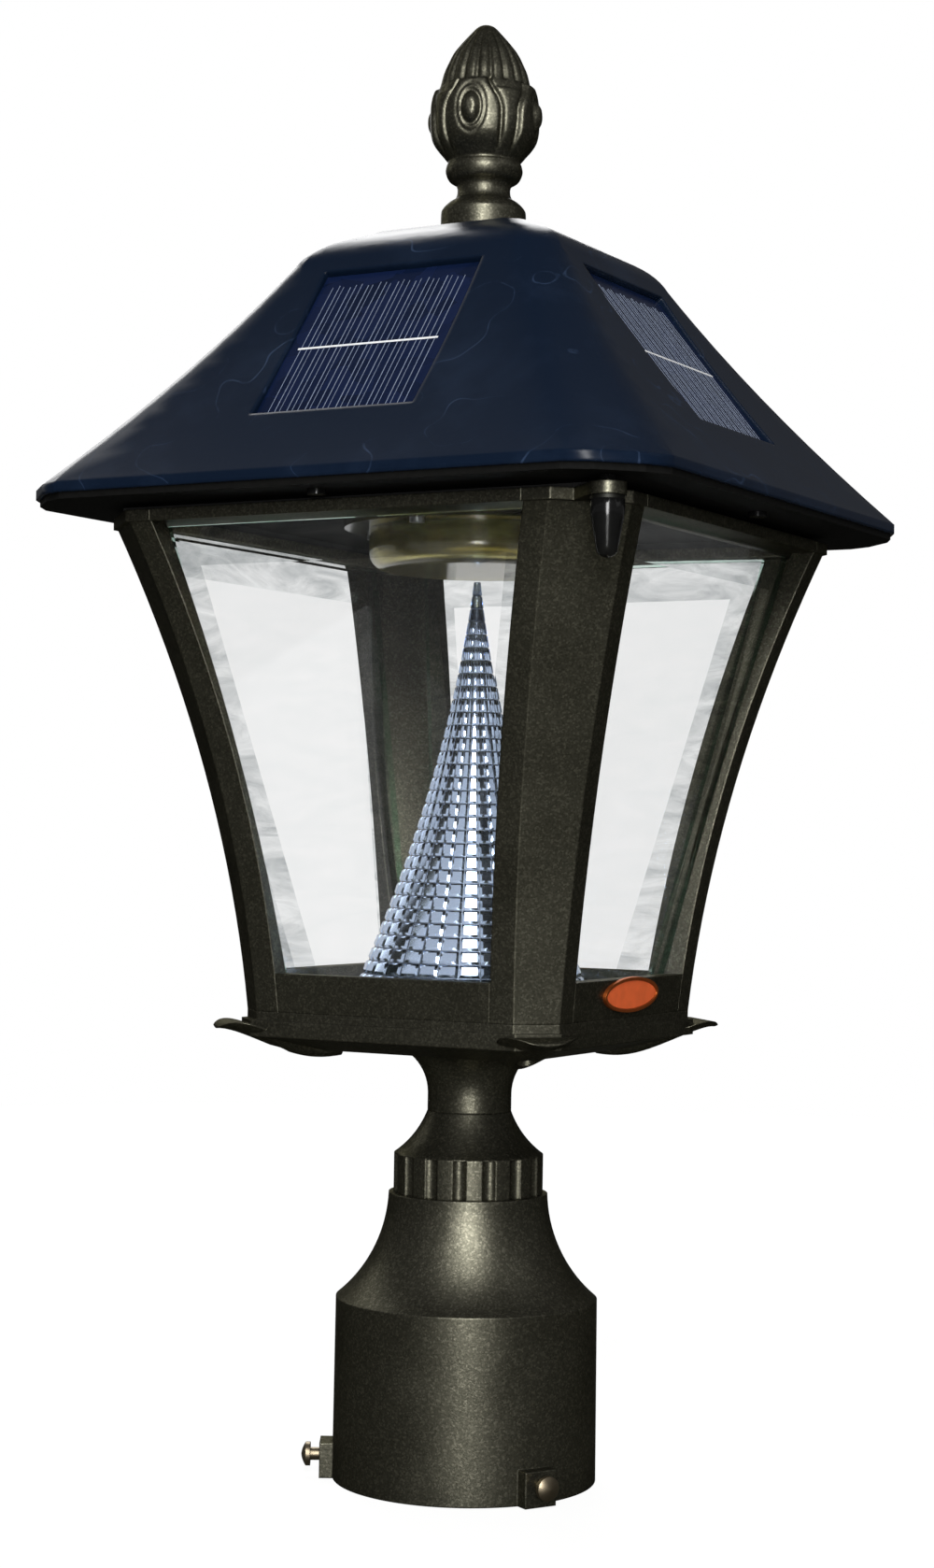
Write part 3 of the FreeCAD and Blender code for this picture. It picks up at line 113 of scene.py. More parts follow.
# Mirror cone: its blunt tip, the edge of its rim, and the hollow under it
CONE_TIP, CONE_RIM = 0.8 * MM, 1.6 * MM
HOLLOW_RADIUS, HOLLOW_HEIGHT = 11.5 * MM, 12 * MM

# Badge: steps round it, and the slope and depth from its rim to its field
BADGE_STEPS, BADGE_SLOPE, BADGE_SINK = 72, 0.25 * MM, 0.4 * MM

# A pane's faces, by how far they agree with its flat side: flat, ground, or else cut edge
PANE_FLAT, PANE_GROUND = 0.9995, 0.5
# How far a face agrees with a direction that it looks in, and with a flat face that it is part of
LOOKS_TOWARD, SAME_FACE = 0.5, 0.999
# Faces of the cone that lie flatter than this close its tip and are no facets
TIP_SLOPE = 0.9


def linear(hex_colour, alpha=1.0):
    """A linear colour from an sRGB hex value."""
    channels = [int(hex_colour[start:start + 2], 16) / 255 for start in (1, 3, 5)]
    light = [c / 12.92 if c <= 0.04045 else ((c + 0.055) / 1.055) ** 2.4 for c in channels]
    return (*light, alpha)


def per_mm(size):
    """The texture scale, in repeats per metre, of a pattern with a repeat in millimetres."""
    return 1 / (size * MM)


def length(name, about, millimetres):
    """A length property, kept in metres."""
    return bpy.props.FloatProperty(name=name, description=about, default=millimetres * MM,
                                   unit="LENGTH", precision=5)


def count(name, about, default, least):
    """A whole number property."""
    return bpy.props.IntProperty(name=name, description=about, default=default, min=least)


def portion(name, about, default):
    """A property for a share of a facet's size."""
    return bpy.props.FloatProperty(name=name, description=about, default=default, min=0, max=0.4)


def angle(name, about, degrees):
    """An angle property, kept in radians."""
    return bpy.props.FloatProperty(name=name, description=about, default=math.radians(degrees),
                                   subtype="ANGLE")


def power(name, about, watts):
    """A property for a light's power."""
    return bpy.props.FloatProperty(name=name, description=about, default=watts, unit="POWER")


def colour(name, about, hex_colour):
    """A colour property, from an sRGB hex value."""
    return bpy.props.FloatVectorProperty(name=name, description=about, default=linear(hex_colour),
                                         size=4, subtype="COLOR", min=0, max=1)


class LanternSizes(bpy.types.PropertyGroup):
    """Sizes of the pieces that are modelled here."""

    facet_columns: count("Facet columns", "Mirror facets round the cone", 32, 16)
    facet_rows: count("Facet rows", "Mirror facets from the cone's rim to its tip", 32, 8)
    facet_groove: portion("Facet groove", "Groove round each facet, as a share of its size", 0.04)
    facet_wall: portion("Facet wall", "Sloped border of each facet, as a share of its size", 0.14)
    facet_rise: portion("Facet rise", "Facet above its groove, as a share of its size", 0.13)
    facet_crown: portion("Facet crown", "Swell of each facet, as a share of its size", 0.03)
    cone_bow: length("Cone bow", "How far the cone's side curves in from a straight line", 5.2)
    bud_steps: count("Bud steps", "Steps round the finial", 224, 40)
    bud_flutes: count("Bud flutes", "Grooves round the bud's upper half", 20, 6)
    bud_flute_depth: length("Bud flute depth", "Depth of a groove at the bud's foot", 0.9)
    leaf_lift: length("Leaf lift", "How far a leaf stands out of the bud's belly", 1.3)
    leaf_turn: angle("Leaf turn", "Direction that one leaf faces", -76.7)
    finger_count: count("Cell fingers", "Silver fingers across a panel", 23, 2)
    finger_width: length("Finger width", "Width of a silver finger", 0.16)
    finger_side: length("Finger side margin", "From the outer fingers to the panel's sides", 4.2)
    finger_head: length("Finger head margin", "From the fingers' tops to the panel's edge", 5.5)
    finger_foot: length("Finger foot margin", "From the fingers' feet to the panel's edge", 1.6)
    busbar_width: length("Busbar width", "Width of the strip that joins the fingers", 0.75)
    finger_thick: length("Finger thickness", "How far the silver stands out of the cell", 0.08)
    badge_half_width: length("Badge half width", "Half of the oval plate's width", 18.6)
    badge_half_height: length("Badge half height", "Half of the oval plate's height", 5.5)
    badge_lift: length("Badge lift", "Height of the plate's middle above the rail's", 1.2)
    badge_thick: length("Badge thickness", "How far the plate stands out of its rail", 1.1)
    badge_rim: length("Badge rim", "Width of the plate's raised rim", 0.9)


class LanternColours(bpy.types.PropertyGroup):
    """Colours of the finishes."""

    coat: colour("Coat", "Powder coat between its flecks", "#504f44")
    coat_light: colour("Coat flecks", "Bright flecks in the powder coat", "#aaa693")
    roof: colour("Roof paint with painted sky blue", "Black paint of the roof, tinted blue as a painted sky reflection", "#0b1728")
    roof_scuff: colour("Roof scuffs", "Rubbed and dusty places on the roof, in the painted blue", "#33445f")
    underside: colour("Underside", "Matt paint below the roof", "#070706")
    glass: colour("Glass", "Clean clear glass", "#fbfbfb")
    glass_smear: colour("Glass smear", "Wiped smears on the glass", "#f7f8f8")
    bevel: colour("Painted bevel reflection", "Grey painted into the ground bevels as their reflection", "#8b9092")
    pale_bevel_reflection: colour("Pale painted bevel reflection", "Paler painted reflection between the bevels' streaks", "#eceeee")
    glass_edge: colour("Glass edge", "Green that shows in the cut edges of the glass", "#7fc4a4")
    glass_edge_light: colour("Light glass edge", "Paler green in the cut edges", "#cfe9dd")
    mirror: colour("Mirror", "Vapour coat on the cone, tinted blue as a painted sky reflection", "#c6d8f4")
    groove: colour("Painted groove shade", "Darker coat in the grooves between facets, as painted shade", "#6b7686")
    cell: colour("Cell", "Solar cell", "#0a152c")
    cell_light: colour("Cell crystal", "Lighter crystals of the cell", "#121e3e")
    silver: colour("Silver", "Printed fingers of the cell", "#7f899c")
    tin: colour("Tin", "Tinned ribbon across the cell", "#eef0f2")
    lacquer: colour("Lacquer", "Gloss black of the knobs", "#080808")
    zinc: colour("Zinc", "Zinc plate on steel", "#b4b5b2")
    dark_zinc: colour("Dark zinc", "Zinc plate, drawn darker", "#3f3f3b")
    brass: colour("Brass", "Dull brass of the set screws", "#a0937c")
    lens: colour("Lens", "Yellowed clear plastic", "#cbc181")
    resin: colour("LED resin", "Clear resin of the LEDs", "#f4f2e4")
    enamel: colour("Enamel", "Fired enamel of the badge", "#cf5b2c")
    gilt: colour("Gilt", "Thin gilding on the badge's rim", "#d8763a")
    board: colour("Board", "Solder mask of the boards", "#1d5a35")
    wrap: colour("Cell wrap", "Shrink wrap of the battery cells", "#2f5f8e")
    plastic: colour("Black plastic", "Holder and switch", "#1c1c1d")
    rubber: colour("Rubber", "Foam rubber of the gasket", "#191918")
    floor: colour("Floor", "Studio floor", "#aeaeac")
    floor_gloss: colour("Floor in gloss", "Studio floor as gloss shows it", "#50504a")


class LanternStage(bpy.types.PropertyGroup):
    """Camera and light."""

    azimuth: angle("Azimuth", "Camera's direction round the lantern, from the front", 29.28)
    distance: length("Distance", "Level distance from the lantern's axis to the camera", 867.1)
    height: length("Height", "Camera's height above the floor", 202.7)
    aside: length("Aside", "Camera's shift to its right", -2.4)
    pitch: angle("Pitch", "How far the camera looks up", 1.2)
    roll: angle("Roll", "Camera's turn about its line of sight", 0.91)
    focal_pixels: bpy.props.FloatProperty(
        name="Focal length", description="Focal length in pixels of the photograph", default=2892.6)
    key_power: power("Key light", "Power of the tall soft light near the camera", 17.0)
    fill_power: power("Fill light", "Power of the soft light on the right", 0.3)
    rim_power: power("Rim light", "Power of the narrow light on the left", 1.0)
    back_power: power("Back light", "Power of the broad light behind the lantern", 8.0)
    ambient: bpy.props.FloatProperty(
        name="Ambient", description="Even light from all round on matt surfaces",
        default=0.2, min=0)
    glossy_share: bpy.props.FloatProperty(
        name="Background in gloss", description="How much of the background the gloss shows",
        default=0.08, min=0, max=1)


def add_node(tree, kind, inputs=None, **settings):
    """Adds a shader node: settings are its own, inputs are values or sockets to link."""
    made = tree.nodes.new(f"ShaderNode{kind}")
    for name, setting in settings.items():
        setattr(made, name, setting)
    for name, source in (inputs or {}).items():
        if isinstance(source, bpy.types.NodeSocket):
            tree.links.new(source, made.inputs[name])
        else:
            made.inputs[name].default_value = source
    return made


def noise(tree, place, repeat, detail, **inputs):
    """Soft noise with a repeat in millimetres."""
    inputs.update({"Vector": place, "Scale": per_mm(repeat), "Detail": detail})
    return add_node(tree, "TexNoise", inputs).outputs["Fac"]


def cells(tree, place, repeat):
    """A random tone for each of many small cells, whose size is in millimetres."""
    inputs = {"Vector": place, "Scale": per_mm(repeat)}
    return add_node(tree, "TexVoronoi", inputs).outputs["Color"]


def remap(tree, value, low, high, to_low=0.0, to_high=1.0):
    """Turns values from low to high into values from to_low to to_high."""
    return add_node(tree, "MapRange", {
        "Value": value, "From Min": low, "From Max": high,
        "To Min": to_low, "To Max": to_high}).outputs["Result"]


def reckon(tree, operation, *sources):
    """The result of a sum on values or sockets."""
    return add_node(tree, "Math", dict(enumerate(sources)), operation=operation).outputs[0]


def blend(tree, share, first, second):
    """A colour between two others."""
    return add_node(tree, "Mix", {0: share, 6: tuple(first), 7: tuple(second)},
                    data_type="RGBA").outputs[2]


def rounded(tree, radius, samples):
    """Normals that round an edge by a radius in millimetres."""
    return add_node(tree, "Bevel", {"Radius": radius * MM}, samples=samples).outputs["Normal"]


def relief(tree, height, strength, depth, **inputs):
    """Normals of a fine relief with a depth in millimetres."""
    inputs.update({"Height": height, "Strength": strength, "Distance": depth * MM})
    return add_node(tree, "Bump", inputs).outputs["Normal"]


def new_material(name):
    """An empty node material, with its tree and the coordinates of the object it is on."""
    material = bpy.data.materials.new(name)
    material.use_nodes = True
    tree = material.node_tree
    tree.nodes.clear()
    return material, tree, add_node(tree, "TexCoord").outputs["Object"]


def principled(tree, inputs):
    """A Principled shader."""
    return add_node(tree, "BsdfPrincipled", inputs).outputs["BSDF"]


def close_material(tree, surface):
    """Links the shader to the output."""
    add_node(tree, "OutputMaterial", {"Surface": surface})


def coat_finish(colours):
    """Metallic powder coat: dark and grainy, with flecks that catch the light and a soft sheen."""
    material, tree, place = new_material(COAT_NAME)
    # The real grain is about 0.3 mm and is drawn at 0.55 to 0.7 mm so that it shows
    grain = noise(tree, place, 0.7, 4.0, Roughness=0.7)
    spark = remap(tree, cells(tree, place, 0.55), 0.45, 0.9, 0.0, 0.42)
    mottle = remap(tree, grain, 0.35, 0.75, 0.0, 0.25)
    share = reckon(tree, "MAXIMUM", spark, mottle)
    patch = noise(tree, place, 22.0, 3.0)
    # Resin lies over the flecks, so the coat stays dark where it is seen along its surface
    close_material(tree, principled(tree, {
        "Base Color": blend(tree, share, colours.coat, colours.coat_light),
        "Metallic": 0.95, "Roughness": remap(tree, patch, 0.3, 0.7, 0.33, 0.43),
        "Specular Tint": (0.25, 0.25, 0.25, 1.0),
        "Normal": relief(tree, grain, 0.35, 0.15, Normal=rounded(tree, 0.7, 6))}))
    return material


def roof_finish(colours):
    """Semi-gloss black paint, tinted blue as a painted sky reflection: smooth, with dust, a few
    thin scratches and softened edges.
    """
    material, tree, place = new_material("semi-gloss paint on cast aluminium")
    dust = noise(tree, place, 30.0, 8.0, Roughness=0.7)
    dusty = remap(tree, dust, 0.5, 0.85, 0.0, 0.18)
    # The real scratches are hair thin and are drawn about 0.4 mm wide so that they show
    stray = reckon(tree, "COMPARE", noise(tree, place, 26.0, 1.0), 0.47, 0.0035)
    worn = remap(tree, dust, 0.46, 0.6, 0.0, 0.55)
    share = reckon(tree, "MAXIMUM", dusty, reckon(tree, "MULTIPLY", stray, worn))
    peel = noise(tree, place, 2.5, 2.0)
    close_material(tree, principled(tree, {
        # The blue in the paint and in its scuffs is painted reflection of a blue sky: the paint
        # itself is black
        "Base Color": blend(tree, share, colours.roof, colours.roof_scuff),
        "Roughness": remap(tree, share, 0.0, 1.0, 0.28, 0.5), "Specular IOR Level": 0.2,
        "Normal": relief(tree, peel, 0.12, 0.1, Normal=rounded(tree, 1.6, 8))}))
    return material


def glass_finish(name, clean_and_pale_tone, smear_and_streak_tone, rough_high, wave, gloss=0.5):
    """Clear float glass: wiped smears, ripples where it is ground with grey streaks there that are
    painted reflection, and green in its cut edges.

    A pane's two faces bend light back into line, so it bends almost none here, and a coat holds
    its gloss. Light passes straight through it, so that it casts no shadow.
    """
    material, tree, place = new_material(name)
    drawn = add_node(tree, "Mapping", {"Vector": place, "Scale": (0.45, 0.45, 1.6)})
    # On clear glass this noise gives smears; in the ground bevels it gives grey streaks that are
    # painted reflection
    smear = noise(tree, drawn.outputs["Vector"], 16.0, 6.0, Roughness=0.6, Distortion=1.5)
    share = remap(tree, smear, 0.35, 0.7)
    glass = principled(tree, {
        "Base Color": blend(tree, share, clean_and_pale_tone, smear_and_streak_tone),
        "Roughness": remap(tree, share, 0.0, 1.0, 0.0, rough_high), "IOR": 1.04,
        "Transmission Weight": 1.0, "Coat Weight": gloss, "Coat IOR": 1.5, "Coat Roughness": 0.02,
        "Normal": relief(tree, smear, wave, 1.0)})
    shadow = add_node(tree, "LightPath").outputs["Is Shadow Ray"]
    open_light = add_node(tree, "BsdfTransparent").outputs["BSDF"]
    both = add_node(tree, "MixShader", {0: shadow, 1: glass, 2: open_light})
    close_material(tree, both.outputs["Shader"])
    return material


def mirror_finish(colours):
    """Vapour-coated plastic: a bright mirror with a faint haze, tinted slightly blue as a painted
    sky reflection.
    """
    material, tree, place = new_material("vapour coated mirror on moulded plastic")
    haze = noise(tree, place, 9.0, 4.0)
    close_material(tree, principled(tree, {
        # The blue in the mirror's colour is painted reflection of a blue sky
        "Base Color": tuple(colours.mirror), "Metallic": 1.0,
        "Roughness": remap(tree, haze, 0.0, 1.0, 0.07, 0.19)}))
    return material


def cell_finish(colours):
    """Silicon under clear resin: blue-black crystals with a glossy top."""
    material, tree, place = new_material("silicon cell under resin")
    wave = noise(tree, place, 14.0, 3.0)
    close_material(tree, principled(tree, {
        "Base Color": blend(tree, cells(tree, place, 7.0), colours.cell, colours.cell_light),
        "Roughness": remap(tree, wave, 0.0, 1.0, 0.12, 0.3), "IOR": 1.5,
        "Specular IOR Level": 0.25, "Normal": relief(tree, wave, 0.15, 0.3)}))
    return material


def metal_finish(name, base, rough_low, rough_high, grain_mm):
    """Plain metal whose grain breaks up its gloss and whose colour dulls in patches."""
    material, tree, place = new_material(name)
    grain = noise(tree, place, grain_mm, 5.0)
    dulled = tuple(channel * 0.55 for channel in base[:3]) + (1.0,)
    close_material(tree, principled(tree, {
        "Base Color": blend(tree, grain, dulled, base), "Metallic": 1.0,
        "Roughness": remap(tree, grain, 0.0, 1.0, rough_high, rough_low),
        "Normal": rounded(tree, 0.3, 4)}))
    return material


def plastic_finish(name, base, roughness, grain_mm, gloss=0.5):
    """Moulded plastic, paint, rubber or laminate: a fine grain and slightly uneven colour."""
    material, tree, place = new_material(name)
    grain = noise(tree, place, grain_mm, 4.0)
    pale = tuple(min(1.0, channel * 1.5 + 0.004) for channel in base[:3]) + (1.0,)
    close_material(tree, principled(tree, {
        "Base Color": blend(tree, grain, base, pale), "Roughness": roughness,
        "Specular IOR Level": gloss, "Normal": relief(tree, grain, 0.2, 0.1)}))
    return material


def clear_finish(name, base, roughness, ior):
    """Clear moulded plastic: see-through, slightly yellow and a little cloudy in places."""
    material, tree, place = new_material(name)
    cloud = noise(tree, place, 5.0, 3.0)
    close_material(tree, principled(tree, {
        "Base Color": tuple(base), "IOR": ior, "Transmission Weight": 0.92,
        "Roughness": remap(tree, cloud, 0.0, 1.0, roughness, roughness * 2.5)}))
    return material


def dress(material, names):
    """Gives CAD nodes a finish."""
    for name in names:
        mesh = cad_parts[name].data
        mesh.materials.clear()
        mesh.materials.append(material)


def new_piece(name, bm, material, body, smooth=True):
    """A finished mesh as a piece that rides on a body."""
    bmesh.ops.remove_doubles(bm, verts=bm.verts, dist=MERGE)
    bmesh.ops.recalc_face_normals(bm, faces=bm.faces)
    mesh = bpy.data.meshes.new(name)
    bm.to_mesh(mesh)
    bm.free()
    mesh.materials.append(material)
    if smooth:
        mesh.shade_smooth()
    else:
        mesh.shade_flat()
    piece = bpy.data.objects.new(name, mesh)
    bpy.context.scene.collection.objects.link(piece)
    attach(piece, body)
    return piece


def smooth_copy(name, node, material, body, crease=32):
    """A merged copy of a CAD node, smooth over edges that turn less than the crease, in degrees."""
    bm = bmesh.new()
    bm.from_mesh(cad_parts[node].data)
    copy = new_piece(name, bm, material, body)
    copy.data.set_sharp_from_angle(angle=math.radians(crease))
    even = copy.modifiers.new("even normals", "WEIGHTED_NORMAL")
    even.keep_sharp = True
    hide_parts(node)
    return copy


def round_upright(mesh, turn=32, slope=0.35):
    """Shades a mesh's upright faces smoothly round corners that turn less than so many degrees."""
    bm = bmesh.new()
    bm.from_mesh(mesh)
    for edge in bm.edges:
        upright = all(abs(face.normal.z) < slope for face in edge.link_faces)
        if upright and edge.calc_face_angle(math.pi) < math.radians(turn):
            edge.smooth = True
    bm.to_mesh(mesh)
    bm.free()


def spin_profile(bm, profile, steps):
    """Turns a profile of (radius, height) points right round the lantern's axis."""
    verts = [bm.verts.new((radius, 0, height)) for radius, height in profile]
    edges = [bm.edges.new(pair) for pair in zip(verts, verts[1:])]
    bmesh.ops.spin(bm, geom=verts + edges, cent=(0, 0, 0), axis=(0, 0, 1), angle=2 * math.pi,
                   steps=steps, use_merge=True)
    bmesh.ops.remove_doubles(bm, verts=bm.verts, dist=MERGE)
    bmesh.ops.recalc_face_normals(bm, faces=bm.faces)


def smooth_step(low, high, number):
    """0 below low, 1 above high and an even curve between."""
    share = min(1.0, max(0.0, (number - low) / (high - low)))
    return share * share * (3 - 2 * share)


def bell(number, place, width):
    """1 at a place, and nothing a few widths away from it."""
    return math.exp(-((number - place) / width) ** 2)


def through(points, cuts):
    """Points on a smooth line through the given ones, with cuts steps from each to the next."""
    line = []
    ends = [points[0], *points, points[-1]]
    for before, here, there, after in zip(ends, ends[1:], ends[2:], ends[3:]):
        for cut in range(cuts):
            t = cut / cuts
            line.append(tuple(
                0.5 * (2 * b + (c - a) * t + (2 * a - 5 * b + 4 * c - d) * t ** 2
                       + (3 * b - a - 3 * c + d) * t ** 3)
                for a, b, c, d in zip(before, here, there, after)))
    return line + [points[-1]]


def leaf_relief(turn, height, radius):
    """How far the belly's carving lifts, as a share: a leaf with a ringed boss, beside a sepal."""
    rise = (height - LEAF_BOTTOM) / (LEAF_TOP - LEAF_BOTTOM)
    if not 0 < rise < 1:
        return 0.0
    foot = smooth_step(0, 0.3, rise)
    half = LEAF_HALF * (1 - LEAF_NARROWING * smooth_step(0.5, 1, rise) ** 1.5)
    inside = (half - abs(turn)) * radius
    top = smooth_step(0, TOP_EASE, LEAF_TOP - height)
    leaf = smooth_step(-0.2, 0.9, inside) * top
    crease = -CREASE_DEPTH * bell(inside, CREASE_PLACE, CREASE_WIDTH)
    sepal = 0.0
    if inside < 0:
        beside = (math.pi / 4 - abs(turn)) / (math.pi / 4 - half)
        sepal = (SEPAL_LIFT * max(0.0, 1 - beside * beside)
                 * smooth_step(0, TOP_EASE, SEPAL_TOP - height))
    across = math.hypot(turn * radius / BOSS_HALF_WIDTH,
                        (height - BOSS_HEIGHT) / BOSS_HALF_HEIGHT)
    boss = BOSS_LIFT * smooth_step(0, BOSS_EASE, 1 - across)
    for place, width, depth in BOSS_RINGS:
        boss -= depth * bell(across, place, width)
    return (leaf + crease + sepal + boss * top) * foot


def carve_bud(bm, sizes, crown):
    """Cuts flutes and leaves into the turned bud."""
    quarter = math.pi / 2
    for vert in bm.verts:
        radius = vert.co.xy.length
        if radius < AXIS_GAP:
            continue
        height = (vert.co.z - crown) / MM
        around = math.atan2(vert.co.y, vert.co.x)
        fluted = (smooth_step(0, 1, height - FLUTE_FOOT)
                  * smooth_step(0, FLUTE_FADE, BUD_TIP - height))
        groove = abs(math.cos(around * sizes.bud_flutes / 2)) ** FLUTE_SHARPNESS
        turn = (around - sizes.leaf_turn + quarter / 2) % quarter - quarter / 2
        offset = sizes.leaf_lift * leaf_relief(turn, height, radius / MM)
        offset -= sizes.bud_flute_depth * fluted * groove
        vert.co.xy *= (radius + offset) / radius


def face_frame(name, toward):
    """The place and half sizes of a CAD node's largest flat face that looks a given way."""
    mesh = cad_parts[name].data
    facing = [face for face in mesh.polygons if face.normal.dot(toward) > LOOKS_TOWARD]
    normal = max(facing, key=lambda face: face.area).normal.copy()
    corners = [mesh.vertices[index].co for face in mesh.polygons
               if face.normal.dot(normal) > SAME_FACE for index in face.vertices]
    centre = (Vector(map(min, *corners)) + Vector(map(max, *corners))) / 2
    across = Vector((0, 0, 1)).cross(normal).normalized()
    upward = normal.cross(across)
    half_width = max(abs((corner - centre).dot(across)) for corner in corners)
    half_length = max(abs((corner - centre).dot(upward)) for corner in corners)
    place = Matrix((across, upward, normal)).transposed().to_4x4()
    place.translation = centre
    return place, half_width, half_length


def strip(bm, place, centre, size):
    """A thin raised bar on a plate's face."""
    spot = place @ Matrix.Translation((*centre, size[2] / 2)) @ Matrix.Diagonal((*size, 1))
    bmesh.ops.create_cube(bm, size=1, matrix=spot)


class LANTERN_OT_castings(bpy.types.Operator):
    """Coat the cup, collar, base, posts and rails"""

    bl_idname = "lantern.castings"
    bl_label = "Castings"

    def execute(self, context):
        names = ["fitter_cup", "fluted_collar", "base_pan"]
        names += [f"corner_post_{corner}" for corner in CORNERS]
        names += [f"{level}_rail_{side}" for level in ("lower", "upper") for side in SIDES]
        dress(coat_finish(context.scene.lantern_colours), names)
        return {"FINISHED"}


class LANTERN_OT_roof(bpy.types.Operator):
    """Paint the roof and its underplate"""

    bl_idname = "lantern.roof"
    bl_label = "Roof"

    def execute(self, context):
        colours = context.scene.lantern_colours
        roof = smooth_copy("painted_roof", "roof_shell", roof_finish(colours), "roof",
                           crease=9)
        round_upright(roof.data)
        matt = plastic_finish("matt paint on cast aluminium", colours.underside, 0.8, 2, gloss=0.1)
        dress(matt, ["roof_underplate"])
        return {"FINISHED"}


class LANTERN_OT_panels(bpy.types.Operator):
    """Finish the solar cells and print their silver fingers"""

    bl_idname = "lantern.panels"
    bl_label = "Solar panels"

    def execute(self, context):
        sizes, colours = context.scene.lantern_sizes, context.scene.lantern_colours
        dress(cell_finish(colours), [f"solar_panel_{side}" for side in SIDES])
        silver = plastic_finish("printed silver paste", colours.silver, 0.4, 1.5)
        tinned = plastic_finish("tinned copper ribbon", colours.tin, 0.35, 1.5)
        for side in SIDES:
            place, half_width, half_length = face_frame(f"solar_panel_{side}", Vector((0, 0, 1)))
            bm = bmesh.new()
            pitch = 2 * (half_width - sizes.finger_side) / (sizes.finger_count - 1)
            low, high = sizes.finger_foot - half_length, half_length - sizes.finger_head
            for step in range(sizes.finger_count):
                uneven = DRIFT * math.sin(step * DRIFT_TURN)
                end = high + RAGGED * half_length * math.sin(step * RAGGED_TURN)
                along = (step + uneven) * pitch + sizes.finger_side - half_width
                width = sizes.finger_width * (1 + 2 * uneven)
                strip(bm, place, (along, (low + end) / 2), (width, end - low, sizes.finger_thick))
            new_piece(f"panel_fingers_{side}", bm, silver, "roof", smooth=False)
            bm = bmesh.new()
            ribbon = 2 * (half_width - sizes.finger_side) + pitch
            strip(bm, place, (0, (low + high) / 2),
                  (ribbon, sizes.busbar_width, sizes.finger_thick * RIBBON_THICKNESS))
            new_piece(f"panel_busbar_{side}", bm, tinned, "roof", smooth=False)
        return {"FINISHED"}


class LANTERN_OT_finial(bpy.types.Operator):
    """Turn the bud finial and carve its leaves and flutes"""

    bl_idname = "lantern.finial"
    bl_label = "Finial"

    def execute(self, context):
        sizes = context.scene.lantern_sizes
        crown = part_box("finial")[0].z
        bm = bmesh.new()
        profile = [(max(0.0, radius) * MM, crown + height * MM)
                   for radius, height in through(BUD_OUTLINE, OUTLINE_CUTS)]
        spin_profile(bm, [(0.0, crown), *profile], sizes.bud_steps)
        carve_bud(bm, sizes, crown)
        bud = new_piece("carved_finial", bm, bpy.data.materials[COAT_NAME], "roof")
        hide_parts("finial")
        return {"FINISHED"}


class LANTERN_OT_glass(bpy.types.Operator):
    """Glaze the four panes, with ground bevels round them"""

    bl_idname = "lantern.glass"
    bl_label = "Glass panes"

    def execute(self, context):
        colours = context.scene.lantern_colours
        clear = glass_finish("clear float glass", colours.glass, colours.glass_smear, 0.01, 0.01)
        # The bevels' grey and pale tones are painted reflection, in place of what the bevels bend
        # and reflect
        ground = glass_finish("float glass ground to a bevel", colours.pale_bevel_reflection, colours.bevel,
                              0.04, 0.03)
        edge = glass_finish("cut edge of float glass", colours.glass_edge, colours.glass_edge_light,
                            0.2, 0.05, gloss=0.0)
        for side in SIDES:
            bm = bmesh.new()
            bm.from_mesh(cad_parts[f"glass_pane_{side}"].data)
            bmesh.ops.remove_doubles(bm, verts=bm.verts, dist=MERGE)
            flat = max(bm.faces, key=lambda face: face.calc_area()).normal.copy()
            for face in bm.faces:
                slant = abs(face.normal.dot(flat))
                face.material_index = 0 if slant > PANE_FLAT else 1 if slant > PANE_GROUND else 2
            pane = new_piece(f"bevelled_pane_{side}", bm, clear, "lantern",
                             smooth=False)
            pane.data.materials.append(ground)
            pane.data.materials.append(edge)
            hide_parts(f"glass_pane_{side}")
        return {"FINISHED"}


class LANTERN_OT_cone(bpy.types.Operator):
    """Build the cone of pillowed mirror facets"""

    bl_idname = "lantern.cone"
    bl_label = "Mirror cone"

    def execute(self, context):
        sizes, colours = context.scene.lantern_sizes, context.scene.lantern_colours
        low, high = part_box("mirror_cone")
        rim, foot, hollow = high.x, low.z + CONE_RIM, low.z + HOLLOW_HEIGHT
        side = []
        for row in range(sizes.facet_rows + 1):
            share = row / sizes.facet_rows
            bow = sizes.cone_bow * 4 * share * (1 - share)
            side.append((rim + (CONE_TIP - rim) * share - bow, foot + (high.z - foot) * share))
        bm = bmesh.new()
        spin_profile(bm, [(0.0, hollow), (HOLLOW_RADIUS, hollow), (HOLLOW_RADIUS, low.z),
                          (rim, low.z), *side, (0.0, high.z)], sizes.facet_columns)
        facets = [face for face in bm.faces
                  if face.calc_center_median().z > foot and abs(face.normal.z) < TIP_SLOPE]
        for face in facets:
            for edge in face.edges:
                edge.smooth = False
        even = {"use_even_offset": True, "use_relative_offset": True}
        grooves = bmesh.ops.inset_individual(bm, faces=facets, thickness=sizes.facet_groove, **even)
        for face in grooves["faces"]:
            face.material_index = 1
        bmesh.ops.inset_individual(bm, faces=facets, thickness=sizes.facet_wall,
                                   depth=sizes.facet_rise, **even)
        bmesh.ops.poke(bm, faces=facets, offset=sizes.facet_crown, use_relative_offset=True)
        cone = new_piece("faceted_cone", bm, mirror_finish(colours), "lantern")
        # The grooves between facets get a darker coat: painted shade
        dull = metal_finish("dull vapour coat in a groove", colours.groove, 0.4, 0.6, 2)
        cone.data.materials.append(dull)
        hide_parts("mirror_cone")
        return {"FINISHED"}


